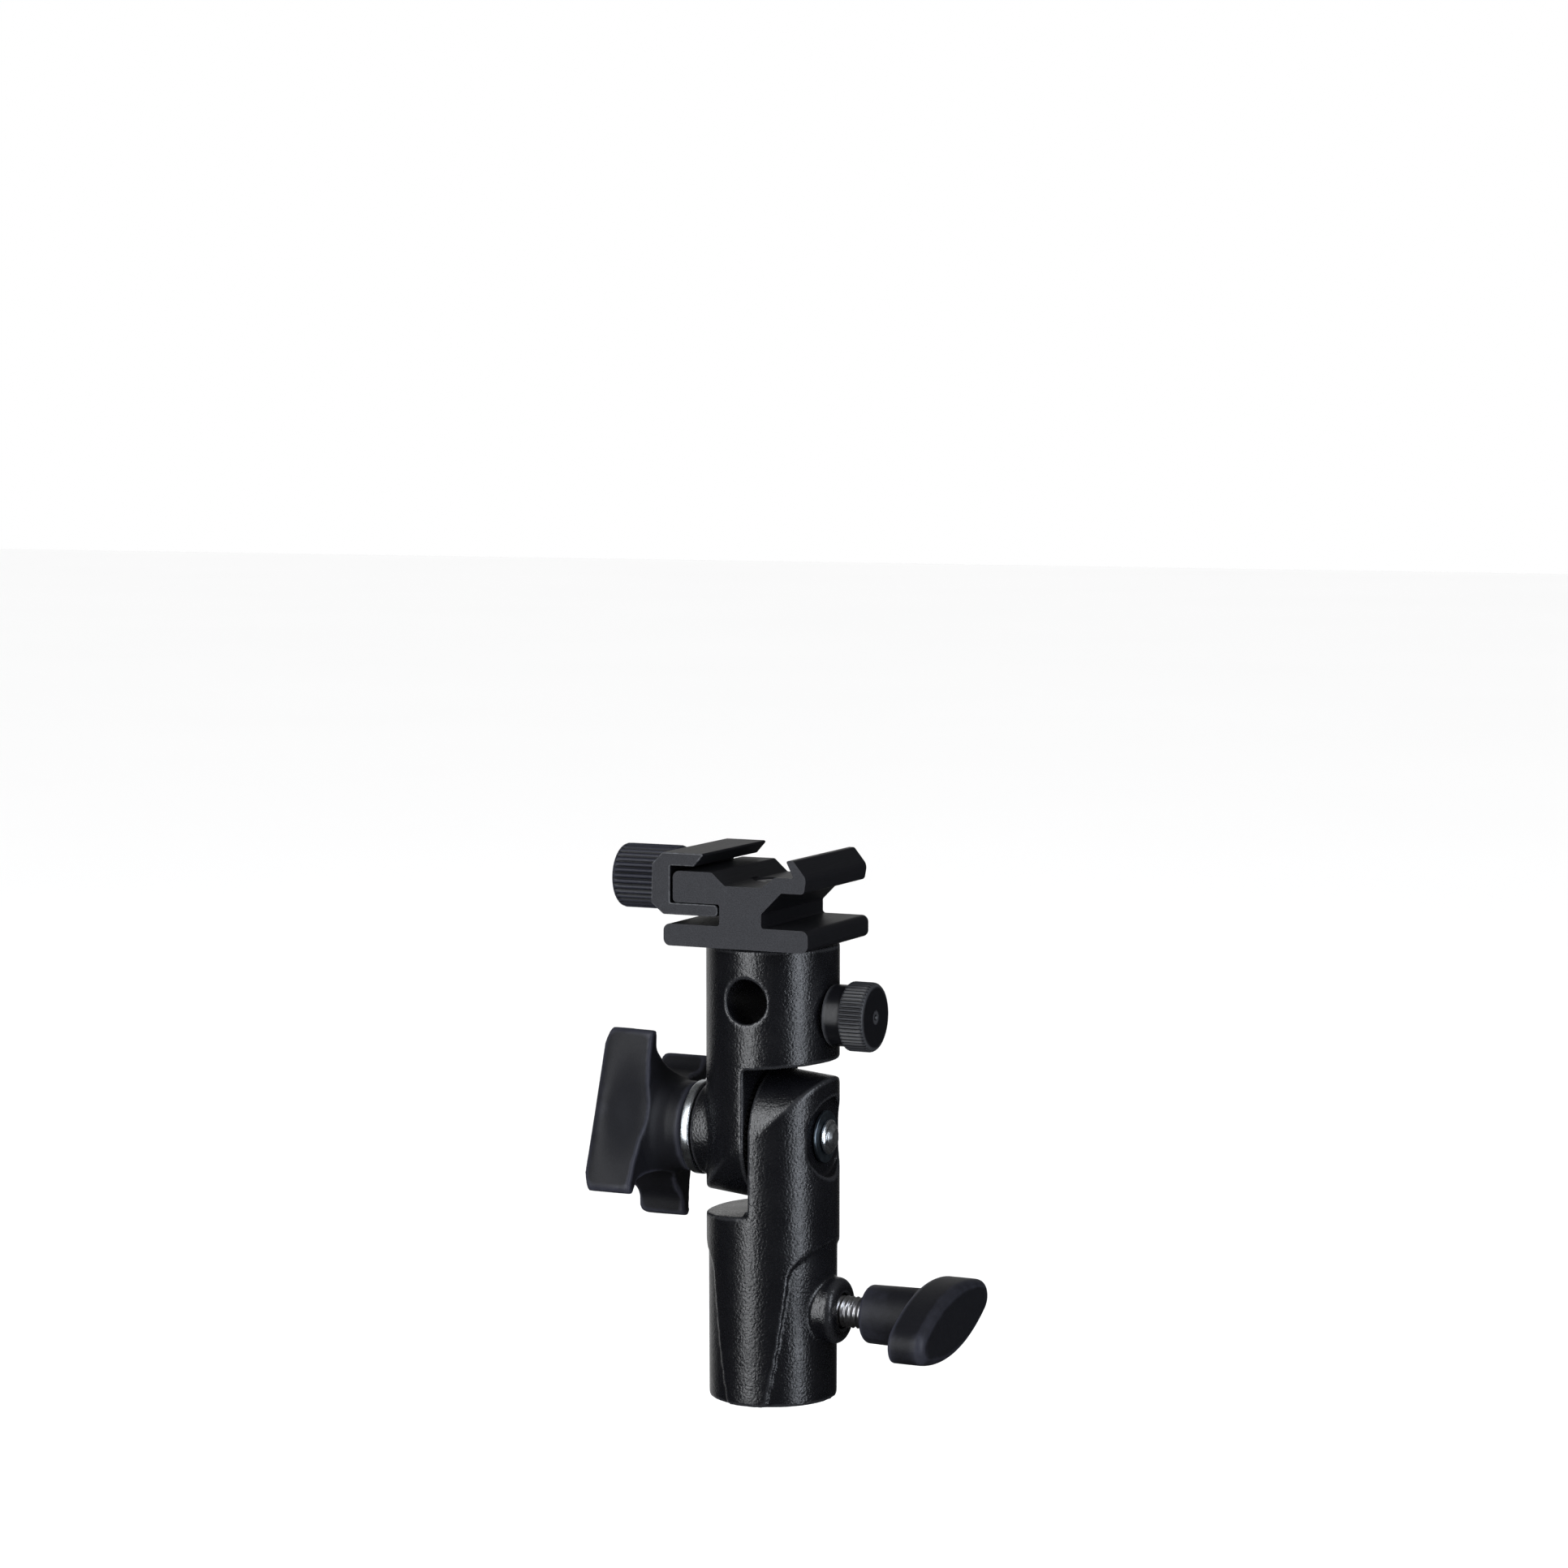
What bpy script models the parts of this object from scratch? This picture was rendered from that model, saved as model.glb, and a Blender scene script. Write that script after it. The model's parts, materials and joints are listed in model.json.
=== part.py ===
"""Umbrella swivel bracket: a light-stand socket, a toothed tilt hinge and a flash shoe.

Lengths are in millimetres and angles in degrees until a mesh is made, where MM turns them
into metres. The origin is the centre of the stand socket's mouth, +Z runs up the bracket,
+X is the side of the two clamping screws and -Y is the front.
"""

import math

import bmesh
import bpy
from mathutils import Matrix

MM = 0.001
GAP = 0.3                    # clearance kept between pieces that touch

# Castings
BODY_RADIUS = 12.5
TILT_HEIGHT = 49.7           # socket mouth to tilt axis
UPPER_HEIGHT = 35.8          # tilt axis to the top of the upper casting
EAR_TAPER = 0.1              # loss of ear radius for each millimetre outwards
EAR_EXTRA = 0.1              # ear radius beyond the body radius
SPLIT_GAP = 0.9              # between the two castings' flat hinge faces
SHOULDER_CLEARANCE = 0.8     # upper shoulder above the lower ear
LEDGE_CLEARANCE = 1.4        # lower ledge below the upper ear
DRAFT = 4.2
EDGE_ROUND = 1.0

# Stand socket and its screw
SOCKET_RADIUS = 8.1
SOCKET_DEPTH = 28.0
PANEL_RECESS = 0.5
PANEL_TOP = 19.7             # below the tilt axis
PANEL_SHOULDER = 25.5        # below the tilt axis
PANEL_CORNER = 38.0          # angle of the panel's corner from the front
PANEL_FOOT = 17.0            # angle of the panel's edge from the front at the mouth
STAND_SCREW_HEIGHT = 17.0
STAND_SCREW_RADIUS = 3.0
STAND_BOSS_RADIUS = 6.25
STAND_BOSS_PROUD = 2.2
STAND_KNOB_STANDOFF = 5.0    # boss face to knob
STAND_HUB_RADIUS = 5.6
STAND_HUB_LENGTH = 10.8
STAND_WING_LENGTH = 33.0
STAND_WING_WIDTH = 12.4
STAND_WING_THICKNESS = 7.0
STAND_WING_TIP = 3.5
STAND_WING_ANGLE = 9.0

# Tilt hinge
TEETH = 60
TOOTH_INNER = 6.5
TOOTH_MARGIN = 1.2           # body radius less the teeth's outer radius
TOOTH_HEIGHT = 0.6
BOLT_RADIUS = 3.0
BOLT_NECK_RADIUS = 2.5
BOLT_COLLAR_RADIUS = 3.25
BOLT_END_LENGTH = 0.8
SPOT_FACE_RADIUS = 7.5
SPOT_FACE_DEPTH = 2.3
BOLT_WASHER_RADIUS = 4.9
BOLT_WASHER_THICKNESS = 0.6
SPRING_WIRE = 0.8
SPRING_TURNS = 5
SPRING_POCKET_DEPTH = 4.5
SPRING_POCKET_RADIUS = 5.3
PIVOT_BOSS_RADIUS = 8.8
PIVOT_BOSS_PROUD = 0.7
TILT_WASHER_RADIUS = 8.9
TILT_WASHER_THICKNESS = 1.75
TILT_HUB_RADIUS = 8.5
TILT_KNOB_LENGTH = 15.4
TILT_KNOB_HALF_LENGTH = 14.8   # axis to the middle of a broad end
TILT_KNOB_HALF_WIDTH = 15.9    # axis to the corners of a broad end
TILT_KNOB_CORNER = 1.5
TILT_KNOB_TIP = 2.4            # thickness of a corner
TILT_KNOB_TIP_DEPTH = 3.4      # corner to the flank of the hollow
TILT_KNOB_HOLLOW = 8.1         # axis to where a side's straight flanks would meet
TILT_KNOB_HOLLOW_RADIUS = 12.0
TILT_KNOB_EDGE = 1.0           # rounding at the outer end
TILT_KNOB_SCOOP_RADIUS = 23.0
TILT_KNOB_SCOOP_DEPTH = 4.3    # how far a broad end leans in towards the hub
TILT_KNOB_FLARE = 5.3          # face to the back of the broad ends
TILT_KNOB_TURN = 160.5
INSERT_RADIUS = 5.0
INSERT_LENGTH = 11.5

# Umbrella hole and its thumbscrew
UMBRELLA_RADIUS = 4.3
UMBRELLA_DROP = 12.8         # screw's axis below the upper casting's top
UMBRELLA_SLOPE = 15.0
UMBRELLA_SCREW_RADIUS = 3.0
UMBRELLA_NECK_RADIUS = 5.75
UMBRELLA_NECK_LENGTH = 3.6
UMBRELLA_HEAD_RADIUS = 6.5
UMBRELLA_HEAD_LENGTH = 5.0

# Flash shoe
SHOE_LENGTH = 27.4
FLANGE_LEFT = 16.0
FLANGE_RIGHT = 13.4
FLANGE_THICKNESS = 4.1
WEB_LEFT = 4.5
WEB_RIGHT = 4.0
ARM_LEFT = 14.05
ARM_BOTTOM = 8.15            # above the flange's underside
ARM_THICKNESS = 5.85
SHELF_DROP = 0.35            # right shelf below the arm's top
GROOVE_DEPTH = 2.4
GROOVE_LEFT = 3.4
GROOVE_RIGHT = 4.1
HOOK_RIGHT = 13.1
HOOK_RISE = 3.2              # above the shelf
HOOK_DEPTH = 2.85            # below the shelf
GROOVE_SLOPE = 2.7
SHOE_SCREW_RADIUS = 2.0
SHOE_SCREW_HEAD_RADIUS = 3.2
SHOE_SCREW_LENGTH = 17.0
SHOE_PIN_RADIUS = 1.5
SHOE_PIN_LENGTH = 6.0
SHOE_PIN_OFFSET = 8.5

# Shoe jaw and its knob
JAW_GAP = 0.65               # jaw's inner wall to the arm
JAW_WALL = 3.9
JAW_RISE = 3.35              # above the arm's top
JAW_LIP = 6.45               # overhang past the arm's end
JAW_TONGUE_THICKNESS = 2.2
JAW_TONGUE_DROP = 0.15       # tongue's top below the arm
TONGUE_END_GAP = 0.4
JAW_SCREW_RADIUS = 1.5
JAW_SCREW_REACH = 6.0         # how far it enters the arm
JAW_KNOB_RADIUS = 6.1
JAW_KNOB_LENGTH = 12.1
JAW_KNOB_CORE_RADIUS = 3.2
JAW_KNOB_CORE_DEPTH = 3.0     # knob's face to the screw's thicker core
JAW_KNOB_END_WALL = 2.5

# Heights and places that follow from the sizes above
EAR_RADIUS = BODY_RADIUS + EAR_EXTRA
SHOULDER = EAR_RADIUS + SHOULDER_CLEARANCE
LEDGE = EAR_RADIUS + LEDGE_CLEARANCE
SPOT_FACE = BODY_RADIUS - SPOT_FACE_DEPTH
PIVOT_FACE = BODY_RADIUS + PIVOT_BOSS_PROUD
TILT_WASHER_FACE = PIVOT_FACE + GAP
TILT_KNOB_FACE = TILT_WASHER_FACE + TILT_WASHER_THICKNESS + GAP
STAND_BOSS_FACE = BODY_RADIUS + STAND_BOSS_PROUD
STAND_KNOB_FACE = STAND_BOSS_FACE + STAND_KNOB_STANDOFF
RAIL_BOTTOM = UPPER_HEIGHT + GAP
ARM_TOP = RAIL_BOTTOM + ARM_BOTTOM + ARM_THICKNESS
ARM_MIDDLE = ARM_TOP - ARM_THICKNESS / 2
SHELF_TOP = ARM_TOP - SHELF_DROP
GROOVE_FLOOR = ARM_TOP - GROOVE_DEPTH
JAW_OUTER = ARM_LEFT + JAW_GAP + JAW_WALL
UMBRELLA_HEIGHT = UPPER_HEIGHT - UMBRELLA_DROP
UMBRELLA_SEAT = BODY_RADIUS - 0.4
AXIS_TURNS = {
    "X": Matrix.Rotation(math.radians(90), 4, "Y"),
    "Y": Matrix.Rotation(math.radians(-90), 4, "X"),
    "Z": Matrix.Identity(4),
}


def clear_scene():
    for item in list(bpy.data.objects):
        bpy.data.objects.remove(item, do_unlink=True)


def collection(name):
    made = bpy.data.collections.new(name)
    bpy.context.scene.collection.children.link(made)
    return made


def empty(name, place=(0, 0, 0), parent=None, turn=(0, 0, 0)):
    made = bpy.data.objects.new(name, None)
    PARTS.objects.link(made)
    made.location = [value * MM for value in place]
    made.rotation_euler = [math.radians(value) for value in turn]
    made.parent = parent
    return made


def material(name, color, roughness, metallic):
    made = bpy.data.materials.new(name)
    made.use_nodes = True
    shader = made.node_tree.nodes["Principled BSDF"]
    shader.inputs["Base Color"].default_value = (*color, 1.0)
    shader.inputs["Roughness"].default_value = roughness
    shader.inputs["Metallic"].default_value = metallic
    return made


def add_object(name, mesh, parent, finish=None):
    made = bpy.data.objects.new(name, mesh)
    PARTS.objects.link(made)
    made.parent = parent
    if finish:
        mesh.materials.clear()
        mesh.materials.append(finish)
    mesh.shade_smooth()
    mesh.set_sharp_from_angle(angle=math.radians(35))
    return made


def mesh_from(name, shape):
    mesh = bpy.data.meshes.new(name)
    shape.to_mesh(mesh)
    shape.free()
    return mesh


def rod(name, radius, low, high, parent, axis="X", centre=(0, 0, 0), end_radius=None,
        finish=None, sides=48):
    """A cylinder or cone from low to high along an axis through centre."""
    shape = bmesh.new()
    middle = Matrix.Translation((0, 0, (low + high) / 2 * MM))
    place = Matrix.Translation([value * MM for value in centre])
    bmesh.ops.create_cone(
        shape, cap_ends=True, segments=sides, radius1=radius * MM,
        radius2=(radius if end_radius is None else end_radius) * MM,
        depth=(high - low) * MM, matrix=place @ AXIS_TURNS[axis] @ middle)
    return add_object(name, mesh_from(name, shape), parent, finish)


def block(name, low, high, parent):
    """A box between two corners."""
    shape = bmesh.new()
    size = Matrix.Diagonal([(b - a) * MM for a, b in zip(low, high)] + [1])
    middle = Matrix.Translation([(a + b) / 2 * MM for a, b in zip(low, high)])
    bmesh.ops.create_cube(shape, size=1, matrix=middle @ size)
    return add_object(name, mesh_from(name, shape), parent)


def turned(name, profile, parent, finish=None, sides=48, closed=False):
    """A profile of (radius, distance along X) turned about X. The outer side runs from
    the far end to the near end."""
    count = len(profile)
    edges = [(i, i + 1) for i in range(count - 1)]
    if closed:
        edges.append((count - 1, 0))
    mesh = bpy.data.meshes.new(name)
    mesh.from_pydata([(r * MM, 0, h * MM) for r, h in profile], edges, [])
    made = add_object(name, mesh, parent, finish)
    made.rotation_euler = (0, math.radians(90), 0)
    screw = made.modifiers.new("turn", "SCREW")
    screw.axis = "Z"
    screw.steps = sides
    screw.render_steps = sides
    screw.use_merge_vertices = True
    screw.merge_threshold = 0.00001
    return made


def prism(name, outline, low, high, parent, normal="Y", finish=None, place=(0, 0, 0)):
    """A flat outline given thickness: (x, z) points along Y, or (y, z) points along X."""
    curve = bpy.data.curves.new(name, "CURVE")
    curve.dimensions = "2D"
    curve.fill_mode = "BOTH"
    curve.extrude = (high - low) / 2 * MM
    line = curve.splines.new("POLY")
    line.points.add(len(outline) - 1)
    for point, (a, b) in zip(line.points, outline):
        point.co = (a * MM, b * MM, 0, 1)
    line.use_cyclic_u = True
    drawn = bpy.data.objects.new(name, curve)
    PARTS.objects.link(drawn)
    across = Matrix.Rotation(math.radians(90), 4, "X")
    upright = AXIS_TURNS["Z"] if normal == "Y" else Matrix.Rotation(math.radians(90), 4, "Z")
    middle = (high + low) / 2
    offset = (0, middle, 0) if normal == "Y" else (middle, 0, 0)
    drawn.matrix_world = (
        Matrix.Translation([(a + b) * MM for a, b in zip(offset, place)]) @ upright @ across)
    bpy.context.view_layer.update()
    mesh = bpy.data.meshes.new_from_object(
        drawn.evaluated_get(bpy.context.evaluated_depsgraph_get()))
    turn = drawn.matrix_world.copy()
    bpy.data.objects.remove(drawn, do_unlink=True)
    shape = bmesh.new()
    shape.from_mesh(mesh)
    bmesh.ops.remove_doubles(shape, verts=shape.verts, dist=0.000001)
    bmesh.ops.transform(shape, matrix=turn, verts=shape.verts)
    bmesh.ops.recalc_face_normals(shape, faces=shape.faces)
    shape.to_mesh(mesh)
    shape.free()
    return add_object(name, mesh, parent, finish)


def combine(target, tool, operation):
    """A live Boolean modifier; its tool goes with the other cutters."""
    PARTS.objects.unlink(tool)
    CUTTERS.objects.link(tool)
    tool.hide_render = True
    tool.display_type = "WIRE"
    modifier = target.modifiers.new(tool.name, "BOOLEAN")
    modifier.operation = operation
    modifier.object = tool


def cut(target, *tools):
    for tool in tools:
        combine(target, tool, "DIFFERENCE")


def join(target, *tools):
    for tool in tools:
        combine(target, tool, "UNION")


def trim(target, *tools):
    for tool in tools:
        combine(target, tool, "INTERSECT")


def round_edges(target, width, segments=2, angle=50):
    bevel = target.modifiers.new("rounded edges", "BEVEL")
    bevel.width = width * MM
    bevel.segments = segments
    bevel.limit_method = "ANGLE"
    bevel.angle_limit = math.radians(angle)


def rounded(corners, steps=3):
    """A closed outline whose corners (x, z, radius) are rounded by arcs."""
    outline = []
    count = len(corners)
    for i, (x, z, radius) in enumerate(corners):
        if not radius:
            outline.append((x, z))
            continue
        before = corners[i - 1]
        after = corners[(i + 1) % count]
        to_a = math.atan2(before[1] - z, before[0] - x)
        to_b = math.atan2(after[1] - z, after[0] - x)
        half = ((to_b - to_a) % math.tau) / 2
        reach = radius / abs(math.tan(half))
        start = (x + reach * math.cos(to_a), z + reach * math.sin(to_a))
        end = (x + reach * math.cos(to_b), z + reach * math.sin(to_b))
        depth = radius / abs(math.sin(half))
        side = to_a + half if half < math.pi / 2 else to_a + half + math.pi
        middle = (x + depth * math.cos(side), z + depth * math.sin(side))
        first = math.atan2(start[1] - middle[1], start[0] - middle[0])
        last = math.atan2(end[1] - middle[1], end[0] - middle[0])
        sweep = (last - first + math.pi) % math.tau - math.pi
        for step in range(steps + 1):
            angle = first + sweep * step / steps
            outline.append((middle[0] + radius * math.cos(angle),
                            middle[1] + radius * math.sin(angle)))
    return outline


def arc(start, middle, end, steps):
    """Points on the circle through three points, from start to just before end."""
    (ax, ay), (bx, by), (cx, cy) = start, middle, end
    double = 2 * (ax * (by - cy) + bx * (cy - ay) + cx * (ay - by))
    squares = [x * x + y * y for x, y in (start, middle, end)]
    ux = (squares[0] * (by - cy) + squares[1] * (cy - ay) + squares[2] * (ay - by)) / double
    uy = (squares[0] * (cx - bx) + squares[1] * (ax - cx) + squares[2] * (bx - ax)) / double
    radius = math.hypot(ax - ux, ay - uy)
    first = math.atan2(ay - uy, ax - ux)
    last = math.atan2(cy - uy, cx - ux)
    sweep = (last - first + math.pi) % math.tau - math.pi
    return [(ux + radius * math.cos(first + sweep * i / steps),
             uy + radius * math.sin(first + sweep * i / steps)) for i in range(steps)]


def tooth_ring(name, parent):
    """Radial teeth whose crests stop GAP / 2 short of the split plane at X = 0."""
    shape = bmesh.new()
    crest = GAP / 2
    outer = BODY_RADIUS - TOOTH_MARGIN
    base = crest + 2 * TOOTH_HEIGHT
    rings = []
    for radius, depths in ((TOOTH_INNER, (base, base)), (TOOTH_INNER, (crest, crest + TOOTH_HEIGHT)),
                           (outer, (crest, crest + TOOTH_HEIGHT)), (outer, (base, base))):
        ring = []
        for i in range(2 * TEETH):
            angle = math.pi * i / TEETH
            ring.append(shape.verts.new((depths[i % 2] * MM, radius * math.cos(angle) * MM,
                                         radius * math.sin(angle) * MM)))
        rings.append(ring)
    for k in range(4):
        one = rings[k]
        two = rings[(k + 1) % 4]
        for i in range(2 * TEETH):
            j = (i + 1) % (2 * TEETH)
            shape.faces.new((one[i], one[j], two[j], two[i]))
    bmesh.ops.recalc_face_normals(shape, faces=shape.faces)
    return add_object(name, mesh_from(name, shape), parent)


def hinge_half(body, ear, seat):
    """Cuts one casting's half of the hinge. In the ear's frame the ear is at +X and ends
    upwards; seat is how far below the axis the face beside the ear lies."""
    name = body.name
    face = SPLIT_GAP / 2
    reach = BODY_RADIUS + 3
    top = EAR_RADIUS + 3
    fall = (reach + face) * math.tan(math.radians(DRAFT))
    other_half = prism(
        f"{name}_other_half", [(face, -seat), (-reach, -seat - fall), (-reach, top), (face, top)],
        -reach, reach, ear)
    end = block(f"{name}_ear_end", (-1, -reach, 0), (reach, reach, top), ear)
    cone_end = reach + 2
    cut(end, rod(f"{name}_ear_round", EAR_RADIUS + 2 * EAR_TAPER, -2, cone_end, ear,
                 end_radius=EAR_RADIUS - cone_end * EAR_TAPER, sides=64))
    recess = rod(f"{name}_tooth_recess", BODY_RADIUS - TOOTH_MARGIN + GAP, -1,
                 GAP / 2 + 1.5 * TOOTH_HEIGHT, ear, sides=60)
    cut(body, other_half, end, recess)
    join(body, tooth_ring(f"{name}_teeth", ear))
    bore = rod(f"{name}_bolt_bore", BOLT_RADIUS + GAP, -1, reach, ear, sides=32)
    pocket = rod(f"{name}_spring_pocket", SPRING_POCKET_RADIUS, -1, SPRING_POCKET_DEPTH, ear, sides=32)
    cut(body, bore, pocket)


def side_panels(parent):
    """The shallow recess on both flanks of the lower casting, with an arched top."""
    corner = BODY_RADIUS * math.cos(math.radians(PANEL_CORNER))
    foot = BODY_RADIUS * math.cos(math.radians(PANEL_FOOT))
    rise = PANEL_SHOULDER - PANEL_TOP
    arch = []
    for i in range(13):
        angle = math.pi * i / 12
        arch.append((corner * math.cos(angle), TILT_HEIGHT - PANEL_SHOULDER + rise * math.sin(angle)))
    outline = arch + [(-foot, -1), (foot, -1)]
    ring = rod("side_panels", BODY_RADIUS + 2, -2, TILT_HEIGHT - PANEL_TOP + 1, parent, axis="Z")
    cut(ring, rod("side_panel_floor", BODY_RADIUS - PANEL_RECESS, -3, TILT_HEIGHT, parent, axis="Z"))
    reach = BODY_RADIUS + 4
    trim(ring, prism("side_panel_outline", outline, -reach, reach, parent, normal="X"))
    return ring


def lower_body(root, finish):
    """The casting with the stand socket; its ear is at +X."""
    ear = empty("lower_ear", (0, 0, TILT_HEIGHT), root)
    blank_top = TILT_HEIGHT + EAR_RADIUS + 2
    body = rod("lower_body", BODY_RADIUS, 0, blank_top, root, axis="Z", finish=finish, sides=64)
    cut(body, side_panels(root))
    boss = rod("stand_screw_boss", STAND_BOSS_RADIUS, SOCKET_RADIUS + 1, STAND_BOSS_FACE, root,
               centre=(0, 0, STAND_SCREW_HEIGHT), sides=32)
    round_edges(boss, EDGE_ROUND)
    join(body, boss)
    hinge_half(body, ear, LEDGE)
    spot_face = rod("spot_face", SPOT_FACE_RADIUS, SPOT_FACE, BODY_RADIUS + 2, ear, sides=32)
    socket = rod("stand_socket", SOCKET_RADIUS, -2, SOCKET_DEPTH, root, axis="Z")
    bore = rod("stand_screw_bore", STAND_SCREW_RADIUS + GAP, 0, STAND_BOSS_FACE + 2, root,
               centre=(0, 0, STAND_SCREW_HEIGHT), sides=32)
    cut(body, spot_face, socket, bore)


def upper_body(tilt, finish):
    """The casting with the umbrella hole; its ear is at -X and hangs down."""
    ear = empty("upper_ear", parent=tilt, turn=(0, 180, 0))
    body = rod("upper_body", BODY_RADIUS, -EAR_RADIUS - 2, UPPER_HEIGHT, tilt, axis="Z",
               finish=finish, sides=64)
    hinge_half(body, ear, SHOULDER)
    boss = rod("pivot_boss", PIVOT_BOSS_RADIUS, BODY_RADIUS / 2, PIVOT_FACE, ear, sides=40)
    cut(boss, rod("pivot_boss_bore", BOLT_RADIUS + GAP, 0, BODY_RADIUS * 2, ear, sides=32))
    join(body, boss)
    hole = rod("umbrella_hole", UMBRELLA_RADIUS, -2 * BODY_RADIUS, 2 * BODY_RADIUS, tilt, axis="Y",
               sides=32)
    hole.location = (0, 0, UMBRELLA_HEIGHT * MM)
    hole.rotation_euler = (math.radians(-UMBRELLA_SLOPE), 0, 0)
    bore = rod("umbrella_screw_bore", UMBRELLA_SCREW_RADIUS + GAP, 0, BODY_RADIUS + 2, tilt,
               centre=(0, 0, UMBRELLA_HEIGHT), sides=32)
    seat = rod("umbrella_screw_seat", UMBRELLA_HEAD_RADIUS, UMBRELLA_SEAT, BODY_RADIUS + 2, tilt,
               centre=(0, 0, UMBRELLA_HEIGHT), sides=32)
    screw_bore = rod("shoe_screw_hole", SHOE_SCREW_RADIUS + GAP,
                     GROOVE_FLOOR - SHOE_SCREW_LENGTH - 2 * GAP, UPPER_HEIGHT + 1, tilt, axis="Z",
                     sides=24)
    pin_bore = rod("shoe_pin_hole", SHOE_PIN_RADIUS + GAP, UPPER_HEIGHT - SHOE_PIN_LENGTH / 2 - GAP,
                   UPPER_HEIGHT + 1, tilt, axis="Z", centre=(0, SHOE_PIN_OFFSET, 0), sides=24)
    cut(body, hole, bore, seat, screw_bore, pin_bore)


def rail_outline():
    """The shoe rail's section, anticlockwise from the flange's lower left corner."""
    flange_top = RAIL_BOTTOM + FLANGE_THICKNESS
    arm_bottom = RAIL_BOTTOM + ARM_BOTTOM
    hook_bottom = SHELF_TOP - HOOK_DEPTH
    hook_top = SHELF_TOP + HOOK_RISE
    web_diagonal = hook_bottom - arm_bottom
    return rounded([
        (-FLANGE_LEFT, RAIL_BOTTOM, 1.2), (FLANGE_RIGHT, RAIL_BOTTOM, 1.2),
        (FLANGE_RIGHT, flange_top, 1.2), (WEB_RIGHT, flange_top, 0.5),
        (WEB_RIGHT, arm_bottom - 1.4, 0.5), (WEB_RIGHT + web_diagonal + 1.4, hook_bottom, 0.5),
        (HOOK_RIGHT - 0.5, hook_bottom, 0.8), (HOOK_RIGHT, SHELF_TOP, 2.0),
        (HOOK_RIGHT - 2.6, hook_top, 0.6), (HOOK_RIGHT - 4.1, hook_top, 0.3),
        (HOOK_RIGHT - 2.5, SHELF_TOP, 0.3), (GROOVE_RIGHT + GROOVE_SLOPE, SHELF_TOP, 0.6),
        (GROOVE_RIGHT, GROOVE_FLOOR, 0.6), (-GROOVE_LEFT, GROOVE_FLOOR, 0.6),
        (-GROOVE_LEFT - GROOVE_SLOPE, ARM_TOP, 0.6), (-ARM_LEFT, ARM_TOP, 1.2),
        (-ARM_LEFT, arm_bottom, 0.8), (-WEB_LEFT, arm_bottom, 0.5),
        (-WEB_LEFT, flange_top, 0.5), (-FLANGE_LEFT, flange_top, 1.2),
    ], steps=2)


def shoe_rail(tilt, finish):
    half = SHOE_LENGTH / 2
    rail = prism("shoe_rail", rail_outline(), -half, half, tilt, finish=finish)
    head = GROOVE_FLOOR - GAP
    cone = SHOE_SCREW_HEAD_RADIUS - SHOE_SCREW_RADIUS
    clear = rod("shoe_screw_clearance", SHOE_SCREW_RADIUS + GAP, RAIL_BOTTOM - 1, ARM_TOP, tilt,
                axis="Z", sides=24)
    sink = rod("shoe_screw_countersink", SHOE_SCREW_RADIUS + GAP, head - cone, head + GAP * 2, tilt,
               axis="Z", end_radius=SHOE_SCREW_HEAD_RADIUS + 3 * GAP, sides=24)
    pin = rod("shoe_pin_clearance", SHOE_PIN_RADIUS + GAP, RAIL_BOTTOM - 1,
              UPPER_HEIGHT + SHOE_PIN_LENGTH / 2 + GAP, tilt, axis="Z",
              centre=(0, SHOE_PIN_OFFSET, 0), sides=24)
    screw = rod("jaw_screw_thread", JAW_SCREW_RADIUS + GAP, -ARM_LEFT - 1,
                -ARM_LEFT + JAW_SCREW_REACH + 2 * GAP, tilt, centre=(0, 0, ARM_MIDDLE), sides=24)
    cut(rail, clear, sink, pin, screw)


def shoe_jaw(tilt, finish):
    """The clamping jaw: a lip over the arm, a wall beside it and a tongue under it."""
    half = SHOE_LENGTH / 2
    inner = -ARM_LEFT - JAW_GAP
    outer = inner - JAW_WALL
    top = ARM_TOP + JAW_RISE
    lip_under = ARM_TOP + 0.9
    tongue_top = RAIL_BOTTOM + ARM_BOTTOM - JAW_TONGUE_DROP
    tongue_bottom = tongue_top - JAW_TONGUE_THICKNESS
    tongue_end = -WEB_LEFT - TONGUE_END_GAP
    outline = rounded([
        (outer + 0.2, top - 2.2, 0.4), (outer, tongue_bottom + 2.0, 0.4),
        (outer + 2.5, tongue_bottom, 0.4), (tongue_end, tongue_bottom, 0.8),
        (tongue_end, tongue_top, 0.8), (inner, tongue_top, 0.3), (inner, lip_under, 0.3),
        (-ARM_LEFT + JAW_LIP - 2.2, lip_under, 0.3), (-ARM_LEFT + JAW_LIP, top, 0.3),
        (outer + 2.4, top, 0.4),
    ], steps=2)
    jaw = prism("shoe_jaw", outline, -half, half, tilt, finish=finish)
    cut(jaw, rod("jaw_screw_hole", JAW_SCREW_RADIUS + GAP, outer - 1, inner + 1, tilt,
                 centre=(0, 0, ARM_MIDDLE), sides=24))


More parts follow.
